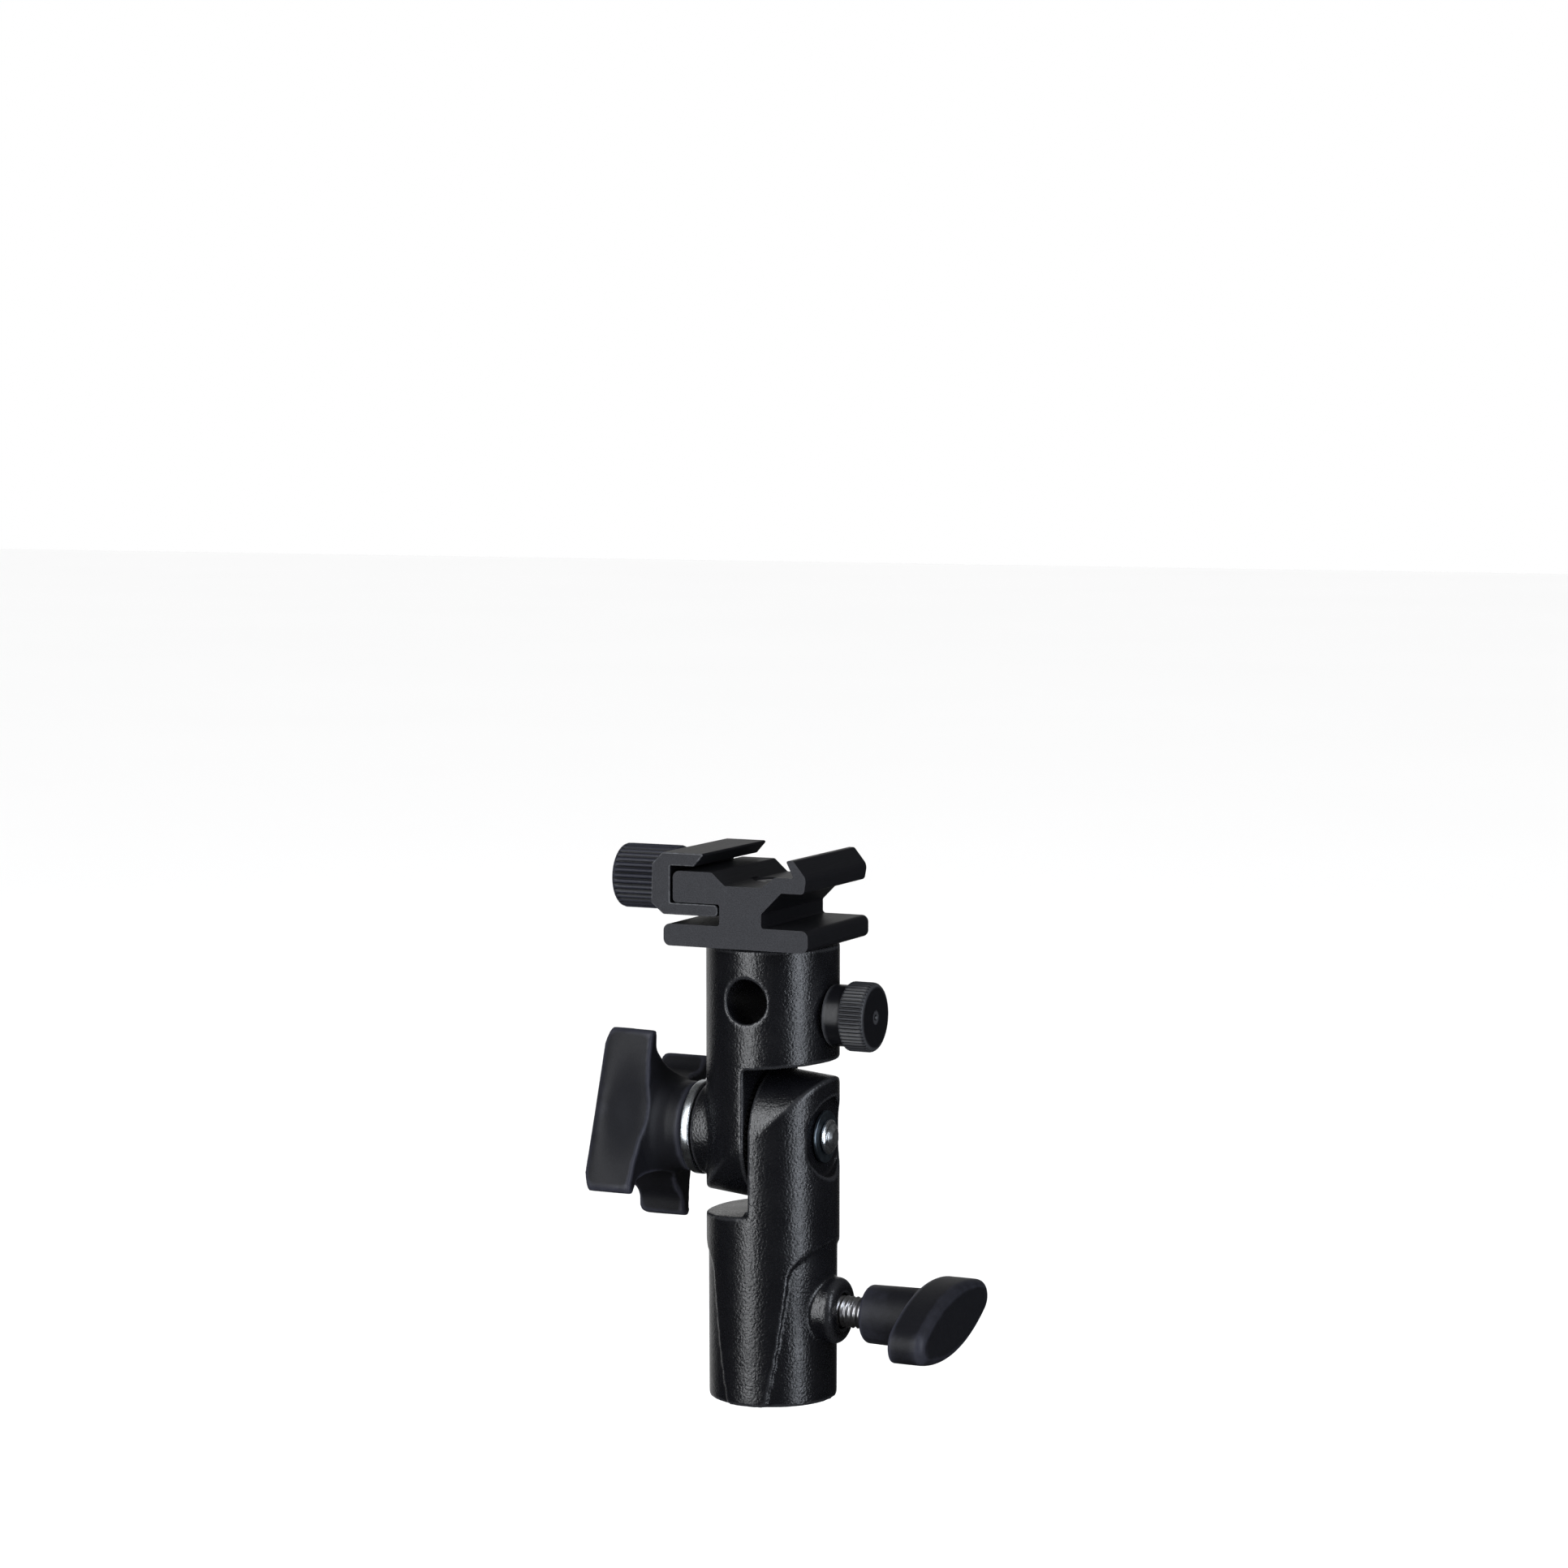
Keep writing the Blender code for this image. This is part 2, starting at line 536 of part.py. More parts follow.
def jaw_fastener(axis, steel, plastic):
    """The jaw's screw with its ribbed knob, turning about the axis through the arm."""
    face = -JAW_OUTER - GAP
    end = face - JAW_KNOB_LENGTH
    core_start = face - JAW_KNOB_CORE_DEPTH
    core_end = end + JAW_KNOB_END_WALL
    tip = -ARM_LEFT + JAW_SCREW_REACH
    turned("jaw_screw", [
        (0, tip), (JAW_SCREW_RADIUS - 0.3, tip), (JAW_SCREW_RADIUS, tip - 0.3),
        (JAW_SCREW_RADIUS, core_start), (JAW_KNOB_CORE_RADIUS, core_start),
        (JAW_KNOB_CORE_RADIUS, core_end), (0, core_end)], axis, steel, sides=24)
    knob = turned("jaw_knob", [
        (0, face), (JAW_KNOB_RADIUS - 0.5, face), (JAW_KNOB_RADIUS, face - 0.5),
        (JAW_KNOB_RADIUS, end + 0.9), (JAW_KNOB_RADIUS - 0.9, end), (0, end)],
        axis, plastic, sides=34)
    hub = rod("jaw_knob_core", JAW_KNOB_CORE_RADIUS + GAP, core_end - GAP, core_start + GAP, axis,
              sides=24)
    neck = rod("jaw_knob_neck", JAW_SCREW_RADIUS + GAP, core_start - 1, face + 1, axis, sides=24)
    cut(knob, hub, neck)


def shoe_fasteners(tilt, steel):
    """The countersunk screw that holds the rail, and the pin that stops it turning."""
    head = GROOVE_FLOOR - GAP
    cone = SHOE_SCREW_HEAD_RADIUS - SHOE_SCREW_RADIUS
    tip = GROOVE_FLOOR - SHOE_SCREW_LENGTH
    screw = rod("shoe_screw", SHOE_SCREW_RADIUS, tip, head, tilt, axis="Z", finish=steel, sides=24)
    join(screw, rod("shoe_screw_head", SHOE_SCREW_RADIUS - 0.2, head - cone - 0.2, head, tilt,
                    axis="Z", end_radius=SHOE_SCREW_HEAD_RADIUS, sides=24))
    cut(screw, rod("shoe_screw_socket", 1.4, head - 1.8, head + 1, tilt, axis="Z", sides=6))
    reach = SHOE_PIN_LENGTH / 2 - GAP
    rod("shoe_locating_pin", SHOE_PIN_RADIUS, UPPER_HEIGHT - reach, UPPER_HEIGHT + reach, tilt,
        axis="Z", centre=(0, SHOE_PIN_OFFSET, 0), finish=steel, sides=24)


def umbrella_fastener(axis, steel, metal):
    """The thumbscrew that clamps the umbrella shaft: a shank and a knurled head."""
    face = UMBRELLA_SEAT + GAP
    neck_end = face + UMBRELLA_NECK_LENGTH
    end = neck_end + UMBRELLA_HEAD_LENGTH
    tip = UMBRELLA_RADIUS - 0.6
    depth = end - 2.0
    turned("umbrella_screw", [
        (0, depth), (UMBRELLA_SCREW_RADIUS, depth), (UMBRELLA_SCREW_RADIUS, tip + 0.5),
        (UMBRELLA_SCREW_RADIUS - 0.5, tip), (0, tip)], axis, steel, sides=24)
    knob = turned("umbrella_knob", [
        (0, end), (UMBRELLA_HEAD_RADIUS - 0.6, end), (UMBRELLA_HEAD_RADIUS, end - 0.6),
        (UMBRELLA_HEAD_RADIUS, neck_end + 0.4), (UMBRELLA_HEAD_RADIUS - 0.4, neck_end),
        (UMBRELLA_NECK_RADIUS, neck_end), (UMBRELLA_NECK_RADIUS, face + 0.3),
        (UMBRELLA_NECK_RADIUS - 0.3, face), (0, face)], axis, metal, sides=50)
    cut(knob, rod("umbrella_knob_bore", UMBRELLA_SCREW_RADIUS + GAP, face - 1, depth + GAP, axis,
                  sides=24))


def wing_outline():
    """A lens with blunt round tips, from two arcs and two tip circles."""
    half = STAND_WING_LENGTH / 2
    wide = STAND_WING_WIDTH / 2
    tip = half - STAND_WING_TIP
    corner = (tip + 0.35 * STAND_WING_TIP, 0.94 * STAND_WING_TIP)
    points = []
    for side in (1, -1):
        x, z = corner[0] * side, corner[1] * side
        points += arc((x, z), (0, wide * side), (-x, z), 12)
        points += arc((-x, z), (-half * side, 0), (-x, -z), 6)
    return points


def stand_fastener(axis, steel, plastic):
    """The clamping screw of the stand socket with its winged handle."""
    face = STAND_KNOB_FACE
    wing_start = face + STAND_HUB_LENGTH
    wing_end = wing_start + STAND_WING_THICKNESS
    depth = wing_start + 1.5
    tip = SOCKET_RADIUS + 0.1
    turned("stand_screw", [
        (0, depth), (STAND_SCREW_RADIUS, depth), (STAND_SCREW_RADIUS, tip + 0.5),
        (STAND_SCREW_RADIUS - 0.5, tip), (0, tip)], axis, steel, sides=24)
    knob = prism("stand_knob", wing_outline(), wing_start, wing_end, axis, normal="X",
                 finish=plastic)
    knob.rotation_euler = (math.radians(STAND_WING_ANGLE), 0, 0)
    round_edges(knob, EDGE_ROUND)
    hub = turned("stand_knob_hub", [
        (0, wing_start + 2), (STAND_HUB_RADIUS, wing_start + 2), (STAND_HUB_RADIUS, wing_start),
        (STAND_HUB_RADIUS - 0.2, face + 0.8), (STAND_HUB_RADIUS - 1.0, face), (0, face)], axis,
        sides=32)
    join(knob, hub)
    cut(knob, rod("stand_knob_bore", STAND_SCREW_RADIUS + GAP, face - 1, depth + GAP, axis, sides=24))


def tilt_bolt(tilt, steel, zinc):
    """The hinge bolt, riveted over its washer at +X, and the spring around it."""
    shoulder = SPOT_FACE
    washer = SPOT_FACE + GAP
    washer_end = washer + BOLT_WASHER_THICKNESS
    collar = washer_end + GAP
    collar_end = collar + 0.7
    end = collar_end + BOLT_END_LENGTH
    inner_end = -TILT_KNOB_FACE - INSERT_LENGTH + 1.0
    turned("tilt_bolt", [
        (0, end), (BOLT_NECK_RADIUS - 0.6, end), (BOLT_NECK_RADIUS, end - 0.4),
        (BOLT_NECK_RADIUS, collar_end), (BOLT_COLLAR_RADIUS - 0.2, collar_end),
        (BOLT_COLLAR_RADIUS, collar_end - 0.2), (BOLT_COLLAR_RADIUS, collar),
        (BOLT_NECK_RADIUS, collar), (BOLT_NECK_RADIUS, shoulder), (BOLT_RADIUS, shoulder),
        (BOLT_RADIUS, inner_end + 0.5), (BOLT_RADIUS - 0.5, inner_end), (0, inner_end)],
        tilt, steel, sides=24)
    inside = BOLT_NECK_RADIUS + GAP
    turned("tilt_bolt_washer", [
        (BOLT_WASHER_RADIUS, washer_end), (BOLT_WASHER_RADIUS, washer),
        (inside, washer), (inside, washer_end)], tilt, zinc, closed=True, sides=36)
    spring(tilt, steel)


def spring(tilt, steel):
    """A coil between the two castings that parts the teeth when the knob is loosened."""
    half = SPRING_POCKET_DEPTH - GAP - SPRING_WIRE / 2
    radius = (BOLT_RADIUS + GAP + SPRING_POCKET_RADIUS) / 2
    per_turn = 14
    count = SPRING_TURNS * per_turn
    curve = bpy.data.curves.new("tilt_spring", "CURVE")
    curve.dimensions = "3D"
    curve.bevel_depth = SPRING_WIRE / 2 * MM
    curve.bevel_resolution = 1
    curve.use_fill_caps = True
    curve.materials.append(steel)
    line = curve.splines.new("POLY")
    line.points.add(count)
    for i, point in enumerate(line.points):
        angle = math.tau * i / per_turn
        along = -half + 2 * half * i / count
        point.co = (along * MM, radius * math.cos(angle) * MM, radius * math.sin(angle) * MM, 1)
    made = bpy.data.objects.new("tilt_spring", curve)
    PARTS.objects.link(made)
    made.parent = tilt


def knob_outline():
    """Two broad ends with blunt corners, joined by two deep hollows for the fingers."""
    end = TILT_KNOB_HALF_LENGTH
    side = TILT_KNOB_HALF_WIDTH
    corner = end - 0.8
    neck = corner - TILT_KNOB_TIP
    half = [(corner, -side, TILT_KNOB_CORNER), (end, 0, 20), (corner, side, TILT_KNOB_CORNER),
            (neck, side - 0.3, 0.6), (neck - 1.3, side - TILT_KNOB_TIP_DEPTH, 2.5),
            (0, TILT_KNOB_HOLLOW, TILT_KNOB_HOLLOW_RADIUS),
            (1.3 - neck, side - TILT_KNOB_TIP_DEPTH, 2.5), (-neck, side - 0.3, 0.6)]
    turn = math.radians(TILT_KNOB_TURN)
    return [(a * math.cos(turn) - b * math.sin(turn), a * math.sin(turn) + b * math.cos(turn))
            for a, b in rounded(half + [(-a, -b, radius) for a, b, radius in half], steps=4)]


def knob_scoop(axis, turn):
    """The slanting cylinder that hollows one broad end of the tilt knob towards its hub."""
    start = TILT_KNOB_EDGE - TILT_KNOB_FACE - TILT_KNOB_LENGTH
    run = TILT_KNOB_LENGTH - TILT_KNOB_EDGE - TILT_KNOB_FLARE
    slope = math.atan2(TILT_KNOB_SCOOP_DEPTH, run)
    radius = TILT_KNOB_SCOOP_RADIUS
    out = TILT_KNOB_HALF_LENGTH + radius * math.cos(slope)
    scoop = rod("tilt_knob_scoop", radius, -8, run / math.cos(slope) + 0.4, axis, sides=64)
    scoop.rotation_mode = "ZYX"
    scoop.rotation_euler = (turn, 0, -slope)
    scoop.location = [value * MM for value in (
        start + radius * math.sin(slope), out * math.cos(turn), out * math.sin(turn))]
    return scoop


def tilt_fastener(axis, plastic, brass, zinc):
    """The knob that clamps the hinge, its threaded insert and the washer under it."""
    washer = -TILT_WASHER_FACE
    face = -TILT_KNOB_FACE
    end = face - TILT_KNOB_LENGTH
    inside = BOLT_RADIUS + GAP
    turned("tilt_washer", [
        (TILT_WASHER_RADIUS - 0.3, washer), (TILT_WASHER_RADIUS, washer - 0.3),
        (TILT_WASHER_RADIUS, washer - TILT_WASHER_THICKNESS + 0.3),
        (TILT_WASHER_RADIUS - 0.3, washer - TILT_WASHER_THICKNESS),
        (inside, washer - TILT_WASHER_THICKNESS), (inside, washer)],
        axis, zinc, closed=True, sides=48)
    insert_start = face - GAP
    insert_end = face - INSERT_LENGTH
    turned("tilt_knob_insert", [
        (INSERT_RADIUS, insert_start), (INSERT_RADIUS, insert_end), (inside, insert_end),
        (inside, insert_start)], axis, brass, closed=True, sides=24)
    rim = math.hypot(TILT_KNOB_HALF_LENGTH, TILT_KNOB_HALF_WIDTH) + 1
    flare = face - TILT_KNOB_FLARE
    knob = turned("tilt_knob", [
        (0, face), (TILT_HUB_RADIUS - 0.4, face), (TILT_HUB_RADIUS, face - 0.4),
        (TILT_HUB_RADIUS, flare + 2.3), (TILT_HUB_RADIUS + 0.8, flare + 0.9), (10.3, flare),
        (12.1, flare - 0.6), (15.4, flare - 0.8), (rim, flare - 0.5), (rim, end + 2.8),
        (rim - 2, end + 0.7), (rim - 4.2, end - 0.3), (0, end - 0.3)], axis, plastic, sides=48)
    outline = prism("tilt_knob_outline", knob_outline(), end, face + 3, axis, normal="X")
    round_edges(outline, TILT_KNOB_EDGE)
    trim(knob, outline)
    turn = math.radians(TILT_KNOB_TURN)
    cut(knob, knob_scoop(axis, turn), knob_scoop(axis, turn + math.pi))
    cut(knob, rod("tilt_knob_bore", INSERT_RADIUS + GAP, insert_end - GAP, face + 1, axis, sides=32))


def build():
    paint = material("black_paint", (0.012, 0.012, 0.014), 0.35, 0.0)
    anodised = material("black_anodised", (0.06, 0.06, 0.065), 0.5, 0.6)
    plastic = material("black_plastic", (0.02, 0.02, 0.021), 0.6, 0.0)
    lacquer = material("black_lacquered_steel", (0.015, 0.015, 0.017), 0.35, 0.5)
    steel = material("steel", (0.55, 0.56, 0.57), 0.35, 1.0)
    zinc = material("zinc_plate", (0.5, 0.53, 0.56), 0.3, 1.0)
    brass = material("brass", (0.65, 0.5, 0.25), 0.35, 1.0)
    root = empty("stand_socket_mouth")
    tilt = empty("tilt_axis", (0, 0, TILT_HEIGHT), root)
    stand_axis = empty("stand_screw_axis", (0, 0, STAND_SCREW_HEIGHT), root)
    umbrella_axis = empty("umbrella_screw_axis", (0, 0, UMBRELLA_HEIGHT), tilt)
    jaw_axis = empty("jaw_screw_axis", (0, 0, ARM_MIDDLE), tilt)
    lower_body(root, paint)
    upper_body(tilt, paint)
    shoe_rail(tilt, anodised)
    shoe_jaw(tilt, anodised)
    shoe_fasteners(tilt, steel)
    jaw_fastener(jaw_axis, steel, plastic)
    umbrella_fastener(umbrella_axis, steel, lacquer)
    stand_fastener(stand_axis, steel, plastic)
    tilt_bolt(tilt, steel, zinc)
    tilt_fastener(tilt, plastic, brass, zinc)


clear_scene()
PARTS = collection("umbrella_swivel_bracket")
CUTTERS = collection("cutters")
build()
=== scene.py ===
"""Looks of the umbrella swivel bracket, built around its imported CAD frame.

Lengths are in millimetres until a mesh is made, where MM turns them into metres. Turned
pieces are made along X, and the two under the shoe are then stood up.
"""

import json
import math

import bmesh
import bpy
import numpy as np
from mathutils import Matrix, Vector


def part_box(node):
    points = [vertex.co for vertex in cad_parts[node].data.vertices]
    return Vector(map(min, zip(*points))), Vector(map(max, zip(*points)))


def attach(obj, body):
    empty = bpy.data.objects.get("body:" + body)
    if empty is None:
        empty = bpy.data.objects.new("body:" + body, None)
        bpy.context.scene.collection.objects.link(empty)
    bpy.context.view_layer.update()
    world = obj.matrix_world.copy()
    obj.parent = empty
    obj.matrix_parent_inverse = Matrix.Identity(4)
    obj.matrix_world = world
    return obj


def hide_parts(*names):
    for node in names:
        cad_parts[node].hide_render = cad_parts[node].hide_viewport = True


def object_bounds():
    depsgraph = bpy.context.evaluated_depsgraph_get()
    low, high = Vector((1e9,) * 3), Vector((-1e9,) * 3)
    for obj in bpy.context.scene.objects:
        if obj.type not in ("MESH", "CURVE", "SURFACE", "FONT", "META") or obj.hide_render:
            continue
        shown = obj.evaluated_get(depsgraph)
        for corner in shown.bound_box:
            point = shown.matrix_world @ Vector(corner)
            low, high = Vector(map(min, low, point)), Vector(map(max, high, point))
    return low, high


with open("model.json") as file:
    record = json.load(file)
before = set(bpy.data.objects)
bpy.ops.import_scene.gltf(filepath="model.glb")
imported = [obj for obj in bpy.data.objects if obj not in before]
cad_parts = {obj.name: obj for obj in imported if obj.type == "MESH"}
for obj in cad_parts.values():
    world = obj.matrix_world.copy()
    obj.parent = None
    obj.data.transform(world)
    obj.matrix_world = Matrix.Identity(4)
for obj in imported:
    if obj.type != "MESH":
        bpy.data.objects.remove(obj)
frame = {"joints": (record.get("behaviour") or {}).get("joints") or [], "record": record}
CAD_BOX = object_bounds()

MM = 0.001
RECORD = frame["record"]
JOINTS = {joint["name"]: joint for joint in frame["joints"]}
BODY_OF = {node: body for body, nodes in RECORD["behaviour"]["bodies"].items() for node in nodes}


def span(node):
    """Lowest and highest corner of a CAD node, in millimetres."""
    low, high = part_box(node)
    return low / MM, high / MM


def height_of(joint):
    """Height of a joint's axis, in millimetres."""
    return JOINTS[joint]["pos_m"][2] / MM


# Places read from the frame
TILT = height_of("head_tilt")
STAND_AXIS = height_of("stand_knob_turn")
UMBRELLA_AXIS = height_of("umbrella_knob_turn")
JAW_AXIS = height_of("jaw_knob_turn")
BODY_RADIUS = span("lower_body")[1].y
UPPER_TOP = span("upper_body")[1].z
PIVOT_FACE = -span("upper_body")[0].x
BOSS_FACE = span("lower_body")[1].x
RAIL_LOW, RAIL_HIGH = span("shoe_rail")
JAW_LOW, JAW_HIGH = span("shoe_jaw")

# Radii of the holes, and the gap behind them
GAP = 0.3                    # clearance past the ends of hidden fasteners
SCREW_HOLE = 3.3             # radius of the holes for the 6 mm screws and bolt
SMALL_HOLE = 1.8             # radius of the holes for the jaw's screw and the locating pin
SHOE_SCREW_HOLE = 2.3
RIVET_WASHER_HOLE = 2.8

# Sizes of the castings
SPLIT = 0.45                 # half the gap between the castings' flat hinge faces
EAR_RADIUS = BODY_RADIUS + 0.1
EAR_TAPER = 0.1              # fall of the round end's radius for each millimetre outwards
SHOULDER = EAR_RADIUS + 0.8  # from the hinge axis to the upper casting's seat
LEDGE = EAR_RADIUS + 1.4     # from the hinge axis to the lower casting's seat
DRAFT = math.radians(4.2)    # slope of both seats
RECESS_RIM = 0.9             # wall left round the teeth
RECESS_FLOOR = 1.05          # from the middle of the hinge
POCKET_RADIUS = 5.3          # the spring's pocket
POCKET_FLOOR = 4.5           # from the middle of the hinge
BOLT_SEAT_RADIUS = 7.5
BOLT_SEAT_DEPTH = 2.3
SOCKET_RADIUS = 8.1
SOCKET_DEPTH = 28.0
BOSS_RADIUS = 6.25           # round the stand screw
PIVOT_RADIUS = 8.8           # boss under the tilt knob's washer
PANEL_RECESS = 0.5           # at the foot
PANEL_FADE = 0.35            # at the hinge axis
PANEL_SHOULDER = 25.5        # from the hinge axis down to where the arch springs
PANEL_RISE = 5.8
PANEL_CORNER = math.radians(38)  # where the arch springs, round from the front
PANEL_FOOT = math.radians(17)
UMBRELLA_RADIUS = 4.05
UMBRELLA_SLOPE = 15.0        # degrees
THUMB_SEAT_RADIUS = 6.5
THUMB_SEAT_DEPTH = 0.4
CAST_VOXEL = 0.3
TEETH = 60
TOOTH_INNER = 6.5
TOOTH_MARGIN = 1.2           # body radius less the teeth's outer radius
TOOTH_HEIGHT = 0.6

# Sizes of the knobs, the fasteners and the shoe
EDGE_BEVEL = 0.22
JAW_RIBS = 34
THUMB_RIBS = 50
WING_TURN = 9.0              # degrees
WING_SOFT = 1.9              # radius of the wing's outer edge
FINGER_TURN = 160.5          # degrees
FINGER_VOXEL = 0.34
INSERT_RIBS = 30
SCREW_RADIUS = 3.0
SCREW_PITCH = 1.0
THREAD_DEPTH = 0.55
SPRING_TURNS = 5.0
SPRING_RADIUS = 4.3
SPRING_WIRE = 0.4            # radius

# The stage: lengths in metres, turns in degrees
FLOOR_DROP = 0.07            # from the object's foot to the floor
STRIP_DISTANCE = 0.75
STRIP_LENGTH = 1.1
STRIP_AIM = (0, 0, 0.05)
CAMERA_PLACE = (0.3168, -0.6720, 0.1821)
CAMERA_TURN = (84.861, 0, 25.083)
CAMERA_LENS = 92.0           # millimetres
SWEEP_TOWARDS = (-0.669, 0.743, 0.0)
SWEEP_GLOW = 0.6
SKY_GLOW = 0.06
STUDIO_DARK = 0.015
MATT_LIGHT = 1.1             # what a surface that isn't glossy gets from all round


# ---------------------------------------------------------------- node graphs

class Wire:
    """A socket that takes part in sums: each operator adds one Math node."""

    def __init__(self, graph, socket):
        self.graph = graph
        self.socket = socket

    def __add__(self, other):
        return self.graph.calculate("ADD", self, other)

    def __radd__(self, other):
        return self.graph.calculate("ADD", other, self)

    def __sub__(self, other):
        return self.graph.calculate("SUBTRACT", self, other)

    def __rsub__(self, other):
        return self.graph.calculate("SUBTRACT", other, self)

    def __mul__(self, other):
        return self.graph.calculate("MULTIPLY", self, other)

    def __rmul__(self, other):
        return self.graph.calculate("MULTIPLY", other, self)

    def __truediv__(self, other):
        return self.graph.calculate("DIVIDE", self, other)

    def __pow__(self, other):
        return self.graph.calculate("POWER", self, other)


class Graph:
    """A node tree that is written as expressions."""

    def __init__(self, tree):
        self.tree = tree

    def node(self, kind, settings=None, values=None, output=0):
        """Adds a node: its settings first, then the numbers or wires of its sockets."""
        made = self.tree.nodes.new(kind)
        for key, value in (settings or {}).items():
            setattr(made, key, value)
        for key, value in (values or {}).items():
            self.feed(made.inputs[key], value)
        return Wire(self, made.outputs[output])

    def feed(self, socket, value):
        if isinstance(value, Wire):
            self.tree.links.new(value.socket, socket)
        else:
            socket.default_value = value

    def calculate(self, operation, *terms):
        return self.node("ShaderNodeMath", {"operation": operation}, dict(enumerate(terms)))

    def clamp(self, wire):
        return self.node("ShaderNodeMath", {"operation": "ADD", "use_clamp": True},
                         {0: wire, 1: 0.0})

    def vector(self, operation, *terms, output=0):
        return self.node("ShaderNodeVectorMath", {"operation": operation}, dict(enumerate(terms)),
                         output)


class Finish(Graph):
    """A material with a Principled shader and the helpers that surfaces share."""

    def __init__(self, name, **constants):
        self.material = bpy.data.materials.new(name)
        self.material.use_nodes = True
        super().__init__(self.material.node_tree)
        self.shader = self.tree.nodes["Principled BSDF"].inputs
        for key, value in constants.items():
            self.feed(self.shader[key.replace("_", " ").title().replace("Ior", "IOR")], value)
        self.place = self.node("ShaderNodeTexCoord", output="Object")

    def noise(self, size, detail=2.0, rough=0.5, stretch=(1, 1, 1)):
        """Noise whose features are about size millimetres, longer along a stretched axis."""
        spread = self.node("ShaderNodeMapping", {"vector_type": "POINT"},
                           {0: self.place, 3: tuple(1 / value for value in stretch)})
        return self.node("ShaderNodeTexNoise", None,
                         {"Vector": spread, "Scale": 1 / (size * MM), "Detail": detail,
                          "Roughness": rough})

    def ramp(self, factor, low, high):
        """0 below low, 1 above high."""
        return self.clamp((factor - low) / (high - low))

    def blend(self, factor, one, two):
        return self.node("ShaderNodeMix", {"data_type": "RGBA"},
                         {0: factor, 6: (*one, 1.0) if isinstance(one, tuple) else one,
                          7: (*two, 1.0) if isinstance(two, tuple) else two}, 2)

    def attribute(self, name):
        return self.node("ShaderNodeAttribute", {"attribute_name": name}, output="Fac")

    def color(self, wire):
        self.feed(self.shader["Base Color"], wire)

    def roughness(self, wire):
        self.feed(self.shader["Roughness"], wire)

    def bump(self, *layers):
        """Layers of (height, depth in millimetres), laid one over the other."""
        normal = None
        for height, depth in layers:
            values = {"Strength": 1.0, "Distance": depth * MM, "Height": height}
            if normal:
                values["Normal"] = normal
            normal = self.node("ShaderNodeBump", None, values)
        self.feed(self.shader["Normal"], normal)


# ------------------------------------------------------------------ materials

def casting_paint():
    """Thick black gloss paint over a sand-cast skin: a fine orange peel."""
    paint = Finish("casting_paint", specular_ior_level=0.5)
    peel = paint.noise(0.42, 2.0, 0.5)
    swell = paint.noise(1.3, 2.0, 0.5)
    cloud = paint.noise(6.0, 3.0, 0.6)
    rubbed = paint.ramp(paint.attribute("edge") + (cloud - 0.5) * 0.6, 0.35, 1.0)
    black = paint.blend(cloud, (0.0018, 0.0019, 0.0028), (0.0036, 0.0038, 0.005))
    paint.color(paint.blend(rubbed, black, (0.013, 0.0135, 0.0155)))
    paint.roughness(0.2 + peel * 0.12 + paint.ramp(cloud, 0.45, 0.7) * 0.05)
    paint.bump((swell, 0.02), (peel, 0.08))
    return paint.material


def sawn_face():
    """The shoe's cut ends: blasted dark grey with a fine speckle and faint saw lines."""
    face = Finish("sawn_face", specular_ior_level=0.25)
    speckle = face.noise(0.24, 3.0, 0.7)
    mottle = face.noise(1.6, 4.0, 0.65)
    lines = face.noise(0.35, 2.0, 0.6, stretch=(0.6, 1, 14))
    tone = face.ramp(speckle, 0.3, 0.72) * 0.75 + mottle * 0.25
    face.color(face.blend(tone, (0.006, 0.0062, 0.0082), (0.03, 0.031, 0.036)))
    face.roughness(0.5 + speckle * 0.25)
    face.bump((speckle, 0.05), (lines, 0.012))
    return face.material


def anodised():
    """The shoe's drawn sides: satin black with faint lines along the extrusion."""
    side = Finish("black_anodised", specular_ior_level=0.25)
    lines = side.noise(0.22, 2.0, 0.6, stretch=(1, 30, 1))
    dust = side.noise(0.5, 3.0, 0.7)
    side.color(side.blend(dust, (0.0022, 0.0023, 0.0034), (0.00657, 0.00678, 0.00836)))
    side.roughness(0.32 + lines * 0.16 + dust * 0.08)
    side.bump((lines, 0.01), (dust, 0.006))
    return side.material


def rubbed_edge():
    """The shoe's long and cut edges: a painted highlight, lighter than the sides, for the light
    their bevels catch, patchy where handling has rubbed them.
    """
    edge = Finish("rubbed_edge", specular_ior_level=0.35)
    sheen_and_wear = edge.noise(0.9, 4.0, 0.7)
    # painted highlight: both edge colours are lighter than the satin sides, standing in for light
    # caught by the bevels
    edge.color(edge.blend(edge.ramp(sheen_and_wear, 0.35, 0.65), (0.012, 0.0125, 0.015),
                          (0.06, 0.062, 0.068)))
    edge.roughness(0.34 + sheen_and_wear * 0.14)
    edge.bump((sheen_and_wear, 0.01))
    return edge.material


def moulded_plastic(name, shade, gloss):
    """Matte black nylon with a spark-eroded skin, paler along its convex edges."""
    plastic = Finish(name, specular_ior_level=0.22)
    skin = plastic.noise(0.22, 3.0, 0.65)
    dust = plastic.noise(2.2, 4.0, 0.6)
    edge = plastic.ramp(plastic.attribute("edge") + (dust - 0.5) * 0.5, 0.25, 0.9)
    # a lighter colour along convex edges, five times the body's
    lighter_edge = tuple(value * 5.0 for value in shade)
    plastic.color(plastic.blend(plastic.clamp(edge * 0.8 + dust * 0.08), shade, lighter_edge))
    plastic.roughness(gloss + (skin - 0.5) * 0.16 - edge * 0.08)
    plastic.bump((skin, 0.035), (dust, 0.02))
    return plastic.material


